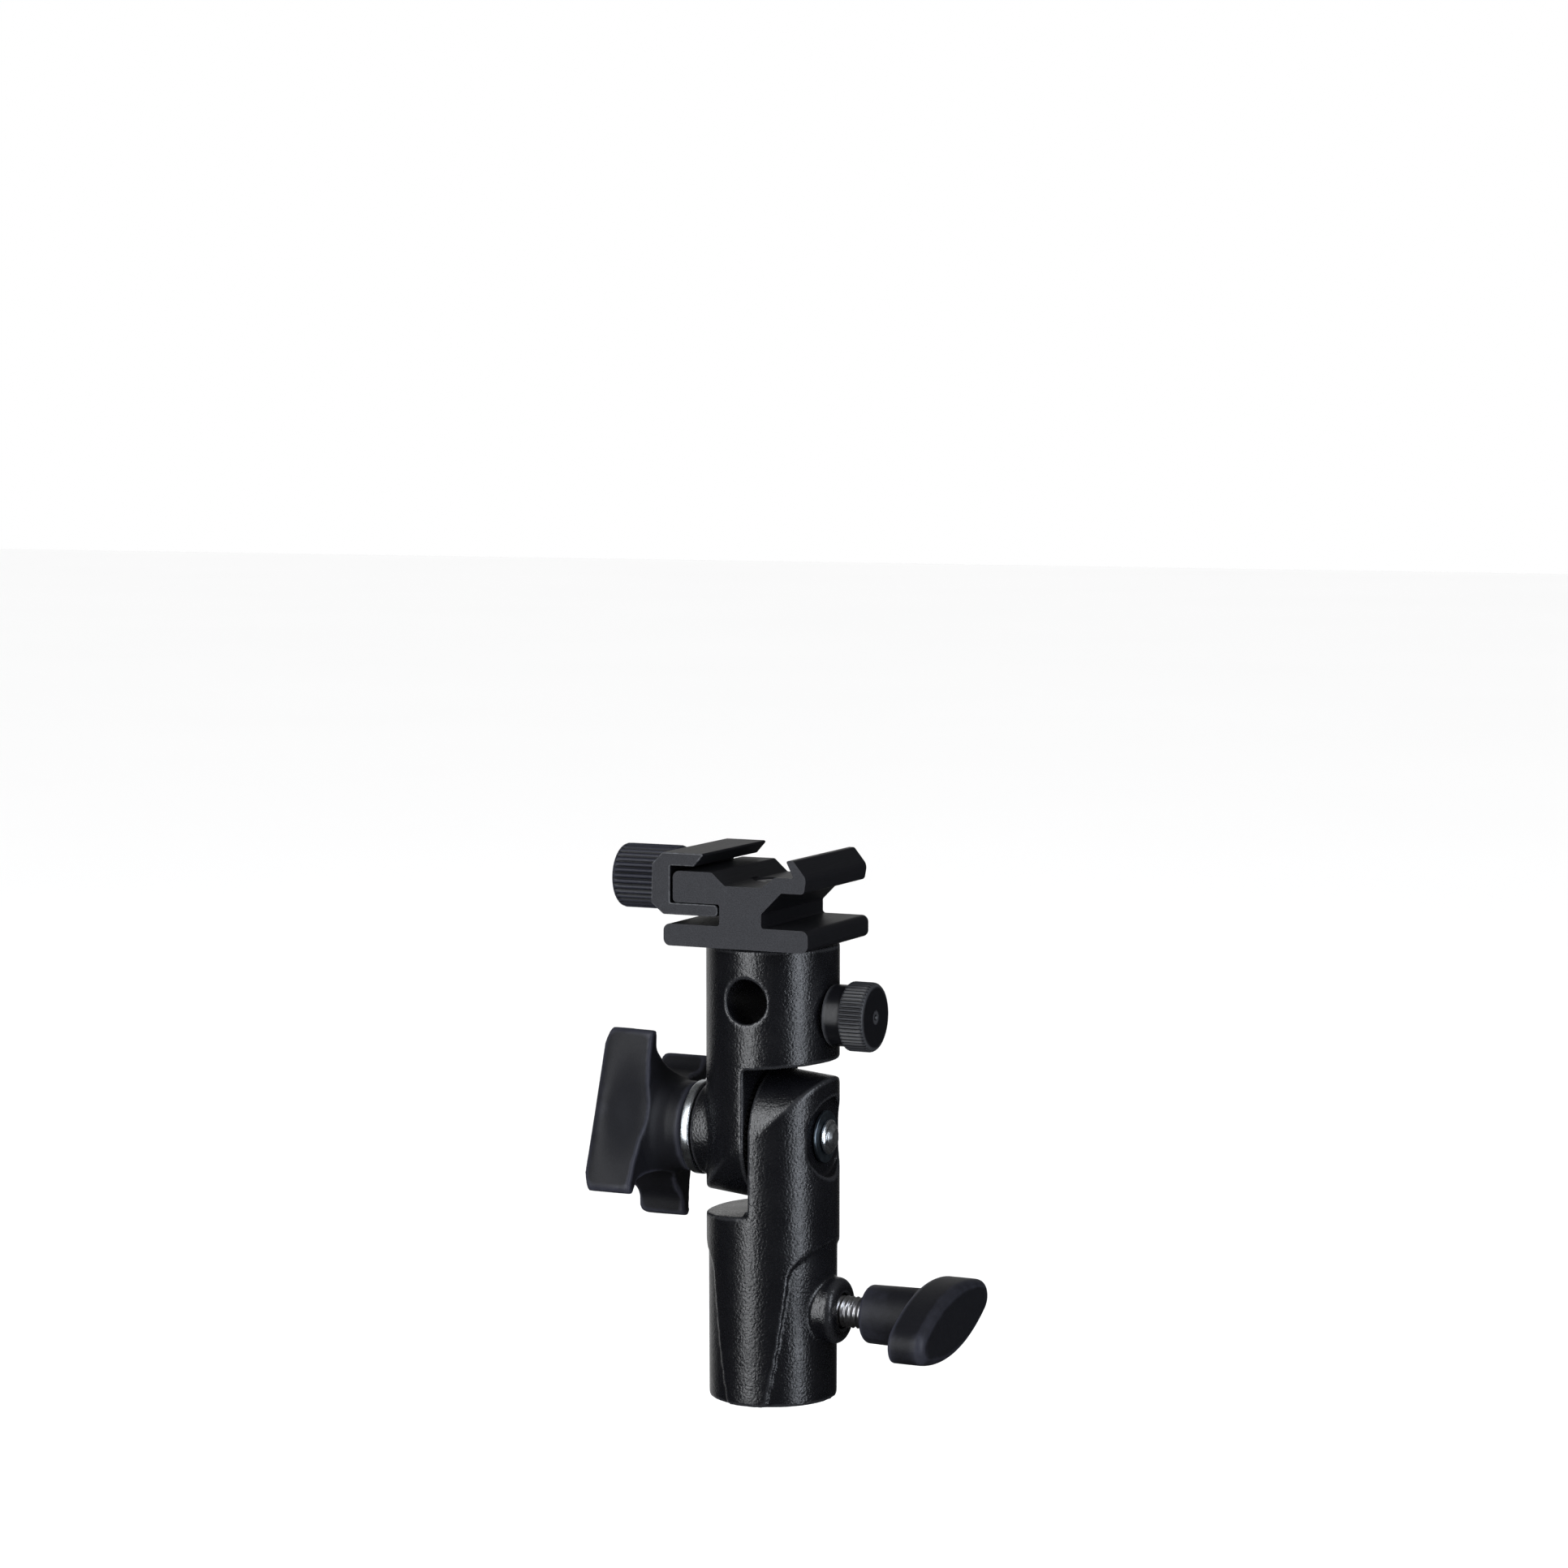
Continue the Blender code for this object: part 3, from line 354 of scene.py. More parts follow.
def lacquer():
    """Semi-gloss black finish on turned metal."""
    coat = Finish("black_lacquer", specular_ior_level=0.25)
    film = coat.noise(0.6, 3.0, 0.6)
    turning = coat.noise(0.12, 1.0, 0.5, stretch=(1, 40, 40))
    edge = coat.ramp(coat.attribute("edge") + (film - 0.5) * 0.5, 0.35, 1.0)
    coat.color(coat.blend(edge, (0.0032, 0.0033, 0.0044), (0.024, 0.025, 0.028)))
    coat.roughness(0.26 + film * 0.12)
    coat.bump((turning, 0.006), (film, 0.012))
    return coat.material


def plated(name, dark, bright, gloss):
    """Plated or bare metal with turning lines round X and a little tarnish."""
    metal = Finish(name, metallic=1.0)
    turning = metal.noise(0.1, 2.0, 0.5, stretch=(1, 30, 30))
    tarnish = metal.noise(1.2, 4.0, 0.65)
    metal.color(metal.blend(metal.ramp(tarnish, 0.3, 0.7), dark, bright))
    metal.roughness(gloss + (turning - 0.5) * 0.12 + (tarnish - 0.5) * 0.12)
    metal.bump((turning, 0.005), (tarnish, 0.006))
    return metal.material


# ---------------------------------------------------------------- mesh making

def add_object(name, mesh, *materials):
    """Puts a mesh with its materials in the scene."""
    made = bpy.data.objects.new(name, mesh)
    bpy.context.scene.collection.objects.link(made)
    for material in materials:
        mesh.materials.append(material)
    return made


def from_shape(name, shape, *materials):
    """Makes a smooth-shaded object of a bmesh, which is used up."""
    mesh = bpy.data.meshes.new(name)
    shape.to_mesh(mesh)
    shape.free()
    mesh.shade_smooth()
    return add_object(name, mesh, *materials)


def matrix(turn=None, place=(0, 0, 0)):
    """A place in millimetres, with an optional (degrees, axis) turn."""
    moved = Matrix.Translation([value * MM for value in place])
    return moved @ Matrix.Rotation(math.radians(turn[0]), 4, turn[1]) if turn else moved


ALONG = {"X": matrix((90, "Y")), "Y": matrix((-90, "X")), "Z": matrix()}
LOWER_EAR = matrix(place=(0, 0, TILT))
UPPER_EAR = matrix((180, "Y"), (0, 0, TILT))


def rod(radius, low, high, axis="X", centre=(0, 0, 0), end_radius=None, within=None, sides=192):
    """A cylinder or cone; within is the frame that its numbers are in."""
    shape = bmesh.new()
    place = (within or matrix()) @ matrix(place=centre) @ ALONG[axis]
    bmesh.ops.create_cone(
        shape, cap_ends=True, segments=sides, radius1=radius * MM,
        radius2=(radius if end_radius is None else end_radius) * MM, depth=(high - low) * MM,
        matrix=place @ matrix(place=(0, 0, (low + high) / 2)))
    return from_shape("rod", shape)


def block(low, high, within=None):
    """A box between two corners; within is the frame that they are in."""
    shape = bmesh.new()
    size = Matrix.Diagonal([(b - a) * MM for a, b in zip(low, high)] + [1])
    middle = matrix(place=[(a + b) / 2 for a, b in zip(low, high)])
    bmesh.ops.create_cube(shape, size=1, matrix=(within or matrix()) @ middle @ size)
    return from_shape("block", shape)


def prism(name, outline, low, high, normal="Y", within=None, materials=()):
    """A closed outline given thickness: (x, z) points along Y, or (y, z) points along X."""
    shape = bmesh.new()
    corner = {"Y": lambda a, b, c: (a, c, b), "X": lambda a, b, c: (c, a, b)}[normal]
    near = [shape.verts.new(Vector(corner(a, b, low)) * MM) for a, b in outline]
    far = [shape.verts.new(Vector(corner(a, b, high)) * MM) for a, b in outline]
    shape.faces.new(near)
    shape.faces.new(far[::-1])
    for i in range(len(outline)):
        j = (i + 1) % len(outline)
        shape.faces.new((near[i], far[i], far[j], near[j]))
    bmesh.ops.transform(shape, matrix=within or matrix(), verts=shape.verts)
    bmesh.ops.recalc_face_normals(shape, faces=shape.faces)
    return from_shape(name, shape, *materials)


def loft(name, rings, within, *materials):
    """Joins outlines of (x, [(y, z), ...]), all with the same number of points, and closes
    both ends."""
    shape = bmesh.new()
    made = [[shape.verts.new(within @ (Vector((x, y, z)) * MM)) for y, z in outline]
            for x, outline in rings]
    for one, two in zip(made, made[1:]):
        for i in range(len(one)):
            j = (i + 1) % len(one)
            shape.faces.new((one[i], one[j], two[j], two[i]))
    shape.faces.new(made[0])
    shape.faces.new(made[-1])
    bmesh.ops.recalc_face_normals(shape, faces=shape.faces)
    return from_shape(name, shape, *materials)


def rounded(corners, steps=8):
    """An outline whose corners (a, b, radius) are rounded by arcs."""
    outline = []
    count = len(corners)
    for i, (x, z, radius) in enumerate(corners):
        if not radius:
            outline.append((x, z))
            continue
        before = corners[i - 1]
        after = corners[(i + 1) % count]
        to_a = math.atan2(before[1] - z, before[0] - x)
        to_b = math.atan2(after[1] - z, after[0] - x)
        half = ((to_b - to_a) % math.tau) / 2
        reach = radius / abs(math.tan(half))
        depth = radius / abs(math.sin(half))
        side = to_a + half if half < math.pi / 2 else to_a + half + math.pi
        middle = (x + depth * math.cos(side), z + depth * math.sin(side))
        ends = []
        for toward in (to_a, to_b):
            a = x + reach * math.cos(toward) - middle[0]
            b = z + reach * math.sin(toward) - middle[1]
            ends.append(math.atan2(b, a))
        sweep = (ends[1] - ends[0] + math.pi) % math.tau - math.pi
        for step in range(steps + 1):
            angle = ends[0] + sweep * step / steps
            outline.append((middle[0] + radius * math.cos(angle),
                            middle[1] + radius * math.sin(angle)))
    return outline


def divided(outline, step, closed=False):
    """The outline with its long sides cut into lengths of about step."""
    points = []
    count = len(outline)
    for i in range(count if closed else count - 1):
        (a, b), (c, d) = outline[i], outline[(i + 1) % count]
        parts = max(1, round(math.hypot(c - a, d - b) / step))
        points += [(a + (c - a) * k / parts, b + (d - b) * k / parts) for k in range(parts)]
    return points if closed else points + [outline[-1]]


def revolve(name, profile, height, materials, sides=192, closed=False):
    """Turns a profile of (x, radius) about the X axis at a height."""
    angles = np.arange(sides) * math.tau / sides
    points = [np.stack([np.full(sides, x), radius * np.cos(angles),
                        height + radius * np.sin(angles)], 1) for x, radius in profile]
    rings = len(profile)
    faces = []
    for k in range(rings if closed else rings - 1):
        m = (k + 1) % rings
        for i in range(sides):
            j = (i + 1) % sides
            faces.append((k * sides + i, k * sides + j, m * sides + j, m * sides + i))
    mesh = bpy.data.meshes.new(name)
    mesh.from_pydata(np.concatenate(points) * MM, [], faces)
    shape = bmesh.new()
    shape.from_mesh(mesh)
    bmesh.ops.remove_doubles(shape, verts=shape.verts, dist=0.000002)
    bmesh.ops.dissolve_degenerate(shape, edges=shape.edges, dist=0.000001)
    bmesh.ops.recalc_face_normals(shape, faces=shape.faces)
    bpy.data.meshes.remove(mesh)
    return from_shape(name, shape, *materials)


def combine(target, operation, *tools):
    """Live Boolean modifiers, settled together with the piece."""
    for tool in tools:
        modifier = target.modifiers.new("combine", "BOOLEAN")
        modifier.operation = operation
        modifier.object = tool
        tool.hide_render = True


def bake(piece):
    """Turns the piece's modifiers into a plain mesh and removes their tools."""
    tools = [m.object for m in piece.modifiers if m.type == "BOOLEAN"]
    depsgraph = bpy.context.evaluated_depsgraph_get()
    mesh = bpy.data.meshes.new_from_object(piece.evaluated_get(depsgraph))
    piece.modifiers.clear()
    piece.data = mesh
    for tool in tools:
        bpy.data.objects.remove(tool, do_unlink=True)
    return piece


def settle(piece, node):
    """Bakes the piece and hands it to the body of the CAD node it stands for."""
    bake(piece)
    piece.data.name = piece.name
    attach(piece, BODY_OF[node])
    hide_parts(node)


def mark_edges(piece, reach):
    """Stores how convex the surface is at each point, from 0 to 1, as the edge attribute.
    reach is how many rings of neighbours the value is spread over."""
    mesh = piece.data
    count = len(mesh.vertices)
    place = np.empty(count * 3)
    mesh.vertices.foreach_get("co", place)
    place = place.reshape(-1, 3)
    normal = np.empty(count * 3)
    mesh.vertices.foreach_get("normal", normal)
    normal = normal.reshape(-1, 3)
    pairs = np.empty(len(mesh.edges) * 2, int)
    mesh.edges.foreach_get("vertices", pairs)
    a, b = pairs.reshape(-1, 2).T
    away = place[b] - place[a]
    length = np.maximum(np.linalg.norm(away, axis=1), 1e-9)
    turn = np.einsum("ij,ij->i", normal[b] - normal[a], away) / length ** 2 * MM
    total = np.bincount(a, turn, count) + np.bincount(b, turn, count)
    share = np.maximum(np.bincount(a, None, count) + np.bincount(b, None, count), 1)
    value = total / share
    for _ in range(reach):
        value = (np.bincount(a, value[b], count) + np.bincount(b, value[a], count)) / share
    edge = np.clip(value * 2.0, 0, 1).astype(np.float32)
    mesh.attributes.new("edge", "FLOAT", "POINT").data.foreach_set("value", edge)


# ------------------------------------------------------------- geometry nodes

def tree_with(name, inputs):
    """A geometry tree with the named inputs and one geometry output: its graph, the wires of
    its inputs and the socket that its result goes to."""
    tree = bpy.data.node_groups.new(name, "GeometryNodeTree")
    tree.interface.new_socket("Geometry", in_out="OUTPUT", socket_type="NodeSocketGeometry")
    for label, kind in inputs.items():
        tree.interface.new_socket(label, in_out="INPUT", socket_type="NodeSocket" + kind)
    graph = Graph(tree)
    entry = tree.nodes.new("NodeGroupInput")
    leave = tree.nodes.new("NodeGroupOutput")
    wires = {label: Wire(graph, entry.outputs[label]) for label in inputs}
    return graph, wires, leave.inputs[0]


def grow(piece, tree, values):
    """Adds the tree to the piece and sets its inputs by the sockets' identifiers."""
    modifier = piece.modifiers.new(tree.name, "NODES")
    modifier.node_group = tree
    for item in tree.interface.items_tree:
        if item.in_out == "INPUT" and item.name in values:
            modifier[item.identifier] = values[item.name]


def finished(graph, geometry, material, leave):
    """The end of every tree: real geometry, with its material."""
    real = graph.node("GeometryNodeRealizeInstances", None, {0: geometry})
    graph.feed(leave, graph.node("GeometryNodeSetMaterial", None,
                                 {"Geometry": real, "Material": material}))


def groove_tree():
    """Cuts a wave into a turned piece: ribs and knurls along X, threads round it, or
    radial teeth on an end face. The wave is a triangle raised to a power."""
    graph, given, leave = tree_with("grooves", {
        "Geometry": "Geometry", "Height": "Float", "Around": "Float", "Along": "Float",
        "Depth": "Float", "Start": "Float", "End": "Float", "Inner Radius": "Float",
        "Fade": "Float", "Power": "Float", "Axial": "Float", "Material": "Material"})
    place = graph.node("GeometryNodeInputPosition")
    parts = {k: graph.node("ShaderNodeSeparateXYZ", None, {0: place}, k) for k in "XYZ"}
    up = parts["Z"] - given["Height"]
    angle = graph.calculate("ARCTAN2", up, parts["Y"])
    radius = graph.calculate("SQRT", up * up + parts["Y"] * parts["Y"])
    phase = given["Around"] * angle / math.tau + given["Along"] * parts["X"]
    triangle = graph.calculate("ABSOLUTE", graph.calculate("FRACT", phase) * 2.0 - 1.0)
    inside = graph.clamp((parts["X"] - given["Start"]) / given["Fade"])
    inside = inside * graph.clamp((given["End"] - parts["X"]) / given["Fade"])
    inside = inside * graph.clamp((radius - given["Inner Radius"]) / given["Fade"])
    sink = triangle ** given["Power"] * given["Depth"] * inside
    outward = sink * (1.0 - given["Axial"]) / graph.calculate("MAXIMUM", radius, 0.00001)
    offset = graph.node("ShaderNodeCombineXYZ", None, {
        0: sink * given["Axial"], 1: outward * parts["Y"] * -1.0, 2: outward * up * -1.0})
    moved = graph.node("GeometryNodeSetPosition", None,
                       {"Geometry": given["Geometry"], "Offset": offset})
    finished(graph, moved, given["Material"], leave)
    return graph.tree


def coil_tree():
    """A compression spring along X: a spiral swept by a round wire."""
    graph, given, leave = tree_with("coil", {
        "Turns": "Float", "Radius": "Float", "Length": "Float", "Wire": "Float",
        "Height": "Float", "Material": "Material"})
    spiral = graph.node("GeometryNodeCurveSpiral", None, {
        "Resolution": 40, "Rotations": given["Turns"], "Start Radius": given["Radius"],
        "End Radius": given["Radius"], "Height": given["Length"]})
    ring = graph.node("GeometryNodeCurvePrimitiveCircle", None,
                      {"Resolution": 14, "Radius": given["Wire"]})
    swept = graph.node("GeometryNodeCurveToMesh", None,
                       {"Curve": spiral, "Profile Curve": ring, "Fill Caps": True})
    shift = graph.node("ShaderNodeCombineXYZ", None,
                       {0: given["Length"] * -0.5, 2: given["Height"]})
    laid = graph.node("GeometryNodeTransform", None, {
        "Geometry": swept, "Rotation": (0, math.pi / 2, 0), "Translation": shift})
    finished(graph, laid, given["Material"], leave)
    return graph.tree


GROOVES = groove_tree()
COIL = coil_tree()


def groove(piece, height, material, around, depth, start, end, along=0.0, inner=0.0, fade=0.3,
           power=1.0, axial=0.0):
    """Grooves in millimetres, from start to end; around is their number in a turn, and along
    is in turns a millimetre."""
    grow(piece, GROOVES, {
        "Height": height * MM, "Around": float(around), "Along": along / MM, "Depth": depth * MM,
        "Start": start * MM, "End": end * MM, "Inner Radius": inner * MM, "Fade": fade * MM,
        "Power": power, "Axial": axial, "Material": material})


# ------------------------------------------------------------------- castings

def cast_skin(piece, voxel=CAST_VOXEL, rounding=12):
    """Fuses the piece into one skin whose edges and inner corners are softly rounded."""
    remesh = piece.modifiers.new("skin", "REMESH")
    remesh.mode = "VOXEL"
    remesh.voxel_size = voxel * MM
    remesh.use_smooth_shade = True
    smooth = piece.modifiers.new("rounding", "SMOOTH")
    smooth.factor = 0.5
    smooth.iterations = rounding


def painted(body, paint, node):
    """Gives a machined body its cast skin, marks where paint wears thin, and settles it."""
    cast_skin(body)
    bake(body)
    mark_edges(body, 1)
    body.data.materials.append(paint)
    settle(body, node)


def hinge_half(piece, ear, seat):
    """Cuts one casting's half of the hinge; in the ear's frame the ear is at +X and its
    round end points up."""
    reach = BODY_RADIUS + 3
    top = EAR_RADIUS + 3
    fall = (reach + SPLIT) * math.tan(DRAFT)
    outline = [(SPLIT, -seat), (-reach, -seat - fall), (-reach, top), (SPLIT, top)]
    half = prism("other_half", outline, -reach, reach, within=ear)
    end = block((-1, -reach, 0), (reach, reach, top), within=ear)
    combine(end, "DIFFERENCE", rod(
        EAR_RADIUS + 2 * EAR_TAPER, -2, reach + 2, end_radius=EAR_RADIUS - (reach + 2) * EAR_TAPER,
        within=ear))
    recess = rod(BODY_RADIUS - RECESS_RIM, -1, RECESS_FLOOR, within=ear)
    bore = rod(SCREW_HOLE, -1, reach, within=ear)
    pocket = rod(POCKET_RADIUS, -1, POCKET_FLOOR, within=ear)
    combine(piece, "DIFFERENCE", half, bake(end), recess, bore, pocket)


def side_panels():
    """The shallow recess on both flanks of the lower casting, arched at the top."""
    corner = BODY_RADIUS * math.cos(PANEL_CORNER)
    foot = BODY_RADIUS * math.cos(PANEL_FOOT)
    outline = [(corner * math.cos(t), TILT - PANEL_SHOULDER + PANEL_RISE * math.sin(t))
               for t in np.linspace(0, math.pi, 41)]
    outline += [(-foot, -1), (foot, -1)]
    above = TILT - PANEL_SHOULDER + PANEL_RISE + 1
    ring = rod(BODY_RADIUS + 2, -2, above, axis="Z")
    floor = rod(BODY_RADIUS - PANEL_RECESS, -3, TILT, axis="Z",
                end_radius=BODY_RADIUS - PANEL_FADE)
    combine(ring, "DIFFERENCE", floor)
    combine(ring, "INTERSECT", prism("outline", outline, -BODY_RADIUS - 4, BODY_RADIUS + 4, "X"))
    return bake(ring)


def lower_casting(paint):
    """The stud socket with its screw boss, side panels, ear and ledge, and a small nub where
    the ear meets the ledge."""
    body = rod(BODY_RADIUS, 0, TILT + EAR_RADIUS + 2, axis="Z", sides=256)
    body.name = "lower_casting"
    combine(body, "DIFFERENCE", side_panels())
    inside = SOCKET_RADIUS + 1
    boss = revolve("boss", rounded([(inside, 0, 0), (inside, BOSS_RADIUS, 0),
                                    (BOSS_FACE, BOSS_RADIUS, 1.6), (BOSS_FACE, 0, 0)]),
                   STAND_AXIS, ())
    combine(body, "UNION", boss)
    hinge_half(body, LOWER_EAR, LEDGE)
    bolt_seat = rod(BOLT_SEAT_RADIUS, BODY_RADIUS - BOLT_SEAT_DEPTH, BODY_RADIUS + 2,
                    within=LOWER_EAR)
    socket = rod(SOCKET_RADIUS, -2, SOCKET_DEPTH, axis="Z")
    bore = rod(SCREW_HOLE, 0, BOSS_FACE + 2, centre=(0, 0, STAND_AXIS))
    combine(body, "DIFFERENCE", bolt_seat, socket, bore)
    nub = rod(0.8, TILT - LEDGE - 1.5, TILT - LEDGE + 0.9, axis="Z", end_radius=0.6,
              centre=(0, -BODY_RADIUS + 1.2, 0), sides=24)
    combine(body, "UNION", nub)
    painted(body, paint, "lower_body")


def upper_casting(paint):
    """The ear that hangs from a round body, with the pivot boss and the slanted hole."""
    body = rod(BODY_RADIUS, TILT - EAR_RADIUS - 2, UPPER_TOP, axis="Z", sides=256)
    body.name = "upper_casting"
    hinge_half(body, UPPER_EAR, SHOULDER)
    boss = rod(PIVOT_RADIUS, BODY_RADIUS / 2, PIVOT_FACE, within=UPPER_EAR)
    combine(boss, "DIFFERENCE", rod(SCREW_HOLE, 0, PIVOT_FACE + 2, within=UPPER_EAR))
    combine(body, "UNION", bake(boss))
    slanted = matrix((-UMBRELLA_SLOPE, "X"), (0, 0, UMBRELLA_AXIS))
    hole = rod(UMBRELLA_RADIUS, -25, 25, axis="Y", within=slanted)
    bore = rod(SCREW_HOLE, 0, BODY_RADIUS + 2, centre=(0, 0, UMBRELLA_AXIS))
    seat = rod(THUMB_SEAT_RADIUS, BODY_RADIUS - THUMB_SEAT_DEPTH, BODY_RADIUS + 2,
               centre=(0, 0, UMBRELLA_AXIS))
    screw_hole = rod(SHOE_SCREW_HOLE, span("shoe_screw")[0].z - 2 * GAP, UPPER_TOP + 1, axis="Z")
    pin_low, pin_high = span("shoe_locating_pin")
    pin_hole = rod(SMALL_HOLE, pin_low.z - GAP, UPPER_TOP + 1, axis="Z",
                   centre=(0, (pin_low.y + pin_high.y) / 2, 0))
    combine(body, "DIFFERENCE", hole, bore, seat, screw_hole, pin_hole)
    painted(body, paint, "upper_body")


def tooth_ring(name, ear, node, paint):
    """The radial teeth of one hinge face, with their crests towards the split."""
    outer = BODY_RADIUS - TOOTH_MARGIN
    back, crest = 1.35, 0.15
    profile = divided([(back, TOOTH_INNER), (back, outer), (crest, outer), (crest, TOOTH_INNER)],
                      0.6, closed=True)
    ring = revolve(name, profile, 0, (paint,), sides=TEETH * 8, closed=True)
    groove(ring, 0, paint, around=TEETH, depth=TOOTH_HEIGHT, start=-1, end=1, fade=0.4,
           axial=1.0)
    bake(ring)
    ring.data.transform(ear)
    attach(ring, BODY_OF[node])


# ----------------------------------------------------------------------- shoe

def rail_outline():
    """The rail's section, anticlockwise from the flange's lower left corner."""
    bottom = RAIL_LOW.z
    right = RAIL_HIGH.x
    flange_top = bottom + 4.1
    arm_bottom = bottom + 8.15
    arm_top = bottom + 14.0
    shelf = arm_top - 0.35
    hook = shelf - 2.85
    floor = arm_top - 2.4
    hook_right = 13.1
    return rounded([
        (RAIL_LOW.x, bottom, 1.3), (right, bottom, 1.3), (right, flange_top, 1.3),
        (4.0, flange_top, 0.6), (4.0, arm_bottom - 1.4, 0.5),
        (4.0 + hook - arm_bottom + 1.4, hook, 0.5), (hook_right - 0.5, hook, 0.8),
        (hook_right, shelf, 2.0), (hook_right - 2.6, shelf + 3.2, 0.6),
        (hook_right - 4.1, shelf + 3.2, 0.3), (hook_right - 2.5, shelf, 0.3),
        (6.8, shelf, 0.6), (4.1, floor, 0.6), (-3.4, floor, 0.6), (-6.1, arm_top, 0.6),
        (-14.05, arm_top, 1.3), (-14.05, arm_bottom, 0.8), (-4.5, arm_bottom, 0.5),
        (-4.5, flange_top, 0.6), (RAIL_LOW.x, flange_top, 1.3)])


def jaw_outline():
    """The jaw's section: lip, wall and tongue."""
    arm_top = RAIL_LOW.z + 14.0
    inner = -14.7
    outer = JAW_LOW.x
    top = JAW_HIGH.z
    lip = arm_top + 0.9
    tongue = RAIL_LOW.z + 8.0
    bottom = JAW_LOW.z
    return rounded([
        (outer + 0.2, top - 2.2, 0.4), (outer, bottom + 2.0, 0.4), (outer + 2.5, bottom, 0.4),
        (-4.9, bottom, 0.9), (-4.9, tongue, 0.9), (inner, tongue, 0.3), (inner, lip, 0.3),
        (-9.8, lip, 0.3), (-7.6, top, 0.3), (outer + 2.4, top, 0.4)])


def extruded(name, outline, node, holes, finishes):
    """An extrusion sawn to the rail's length, with finishes for its satin sides, its blasted
    ends and its fine edges."""
    piece = prism(name, outline, RAIL_LOW.y, RAIL_HIGH.y, materials=finishes)
    combine(piece, "DIFFERENCE", *holes)
    bake(piece)
    bevel = piece.modifiers.new("edge", "BEVEL")
    bevel.width = EDGE_BEVEL * MM
    bevel.segments = 3
    bevel.limit_method = "ANGLE"
    bevel.angle_limit = math.radians(60)
    # the bevels take the third finish, the painted edge highlight
    bevel.material = 2
    bake(piece)
    for polygon in piece.data.polygons:
        if polygon.material_index != 2:
            polygon.material_index = 1 if abs(polygon.normal.y) > 0.95 else 0
    piece.data.shade_smooth()
    piece.data.set_sharp_from_angle(angle=math.radians(32))
    flat = piece.modifiers.new("flat_faces", "WEIGHTED_NORMAL")
    flat.keep_sharp = True
    flat.weight = 100
    bake(piece)
    settle(piece, node)


def shoe(finishes):
    """The rail and its sliding jaw, drilled for the screws and the locating pin."""
    head = span("shoe_screw")[1].z
    pin_low, pin_high = span("shoe_locating_pin")
    holes = [
        rod(SHOE_SCREW_HOLE, RAIL_LOW.z - 1, head + 4, axis="Z", sides=96),
        rod(SHOE_SCREW_HOLE, head - 1.2, head + 0.6, axis="Z", end_radius=4.1, sides=96),
        rod(SMALL_HOLE, RAIL_LOW.z - 1, pin_high.z + GAP, axis="Z",
            centre=(0, (pin_low.y + pin_high.y) / 2, 0), sides=96),
        rod(SMALL_HOLE, -15, span("jaw_screw")[1].x + 2 * GAP, centre=(0, 0, JAW_AXIS), sides=96),
    ]
    extruded("rail_extrusion", rail_outline(), "shoe_rail", holes, finishes)
    holes = [rod(SMALL_HOLE, JAW_LOW.x - 1, -14, centre=(0, 0, JAW_AXIS), sides=96)]
    extruded("jaw_extrusion", jaw_outline(), "shoe_jaw", holes, finishes)


# --------------------------------------------------------- knobs and fasteners

def ribbed_jaw_knob(plastic):
    """A ribbed disc with a hollow for the head of the jaw's screw."""
    low, high = span("jaw_knob")
    radius = (high.z - low.z) / 2
    wall = low.x + 2.2
    core = high.x - 2.7
    profile = rounded([
        (wall, 0, 0), (wall, 3.5, 0), (core, 3.5, 0), (core, SMALL_HOLE, 0),
        (high.x, SMALL_HOLE, 0.2), (high.x, radius, 0.5), (low.x, radius, 0.9),
        (low.x, 4.2, 0.4), (low.x + 0.6, 3.8, 0.4), (low.x + 0.6, 0, 0)], steps=5)
    knob = revolve("ribbed_jaw_knob", divided(profile, 0.5), JAW_AXIS, (plastic,),
                   sides=JAW_RIBS * 12)
    groove(knob, JAW_AXIS, plastic, around=JAW_RIBS, depth=0.42, start=low.x + 0.35,
           end=high.x - 0.2, inner=5.0, fade=0.8, power=1.6)
    bake(knob)
    mark_edges(knob, 1)
    settle(knob, "jaw_knob")


def knurled_thumb_head(coat):
    """A knurled head with a smooth neck and a small dimple in its middle."""
    low, high = span("umbrella_knob")
    radius = (high.z - low.z) / 2
    neck = low.x + 3.6
    depth = high.x - 1.7
    profile = rounded([
        (depth, 0, 0), (depth, SCREW_HOLE, 0), (low.x, SCREW_HOLE, 0), (low.x, 5.75, 0.35),
        (neck, 5.75, 0.15), (neck, radius, 0.55), (high.x, radius, 0.9), (high.x, 0.7, 0.1),
        (high.x - 0.35, 0.35, 0.1), (high.x - 0.35, 0, 0)], steps=5)
    knob = revolve("knurled_thumb_head", divided(profile, 0.4), UMBRELLA_AXIS, (coat,),
                   sides=THUMB_RIBS * 10)
    groove(knob, UMBRELLA_AXIS, coat, around=THUMB_RIBS, depth=0.32, start=neck, end=high.x - 0.15,
           inner=5.95, fade=0.45, power=1.2)
    bake(knob)
    mark_edges(knob, 1)
    settle(knob, "umbrella_knob")


def wing_outline(half, wide, tip, count=96):
    """A lens with round tips, as offsets from the middle: half its length, half its width and
    the radius of its tips."""
    points = []
    centre = half - tip
    bulge = wide - tip
    arc = (centre ** 2 + bulge ** 2) / (2 * bulge)
    sweep = math.asin(centre / arc)
    for side in (1, -1):
        for t in np.linspace(-sweep, sweep, count // 2):
            radius = arc + tip
            x = -radius * math.sin(t)
            z = bulge - arc + radius * math.cos(t)
            points.append((side * x, side * z))
        first = math.pi / 2 + sweep
        for t in np.linspace(first, math.pi * 1.5 - sweep, count // 8)[1:-1]:
            points.append((side * (-centre + tip * math.cos(t)), side * tip * math.sin(t)))
    return points


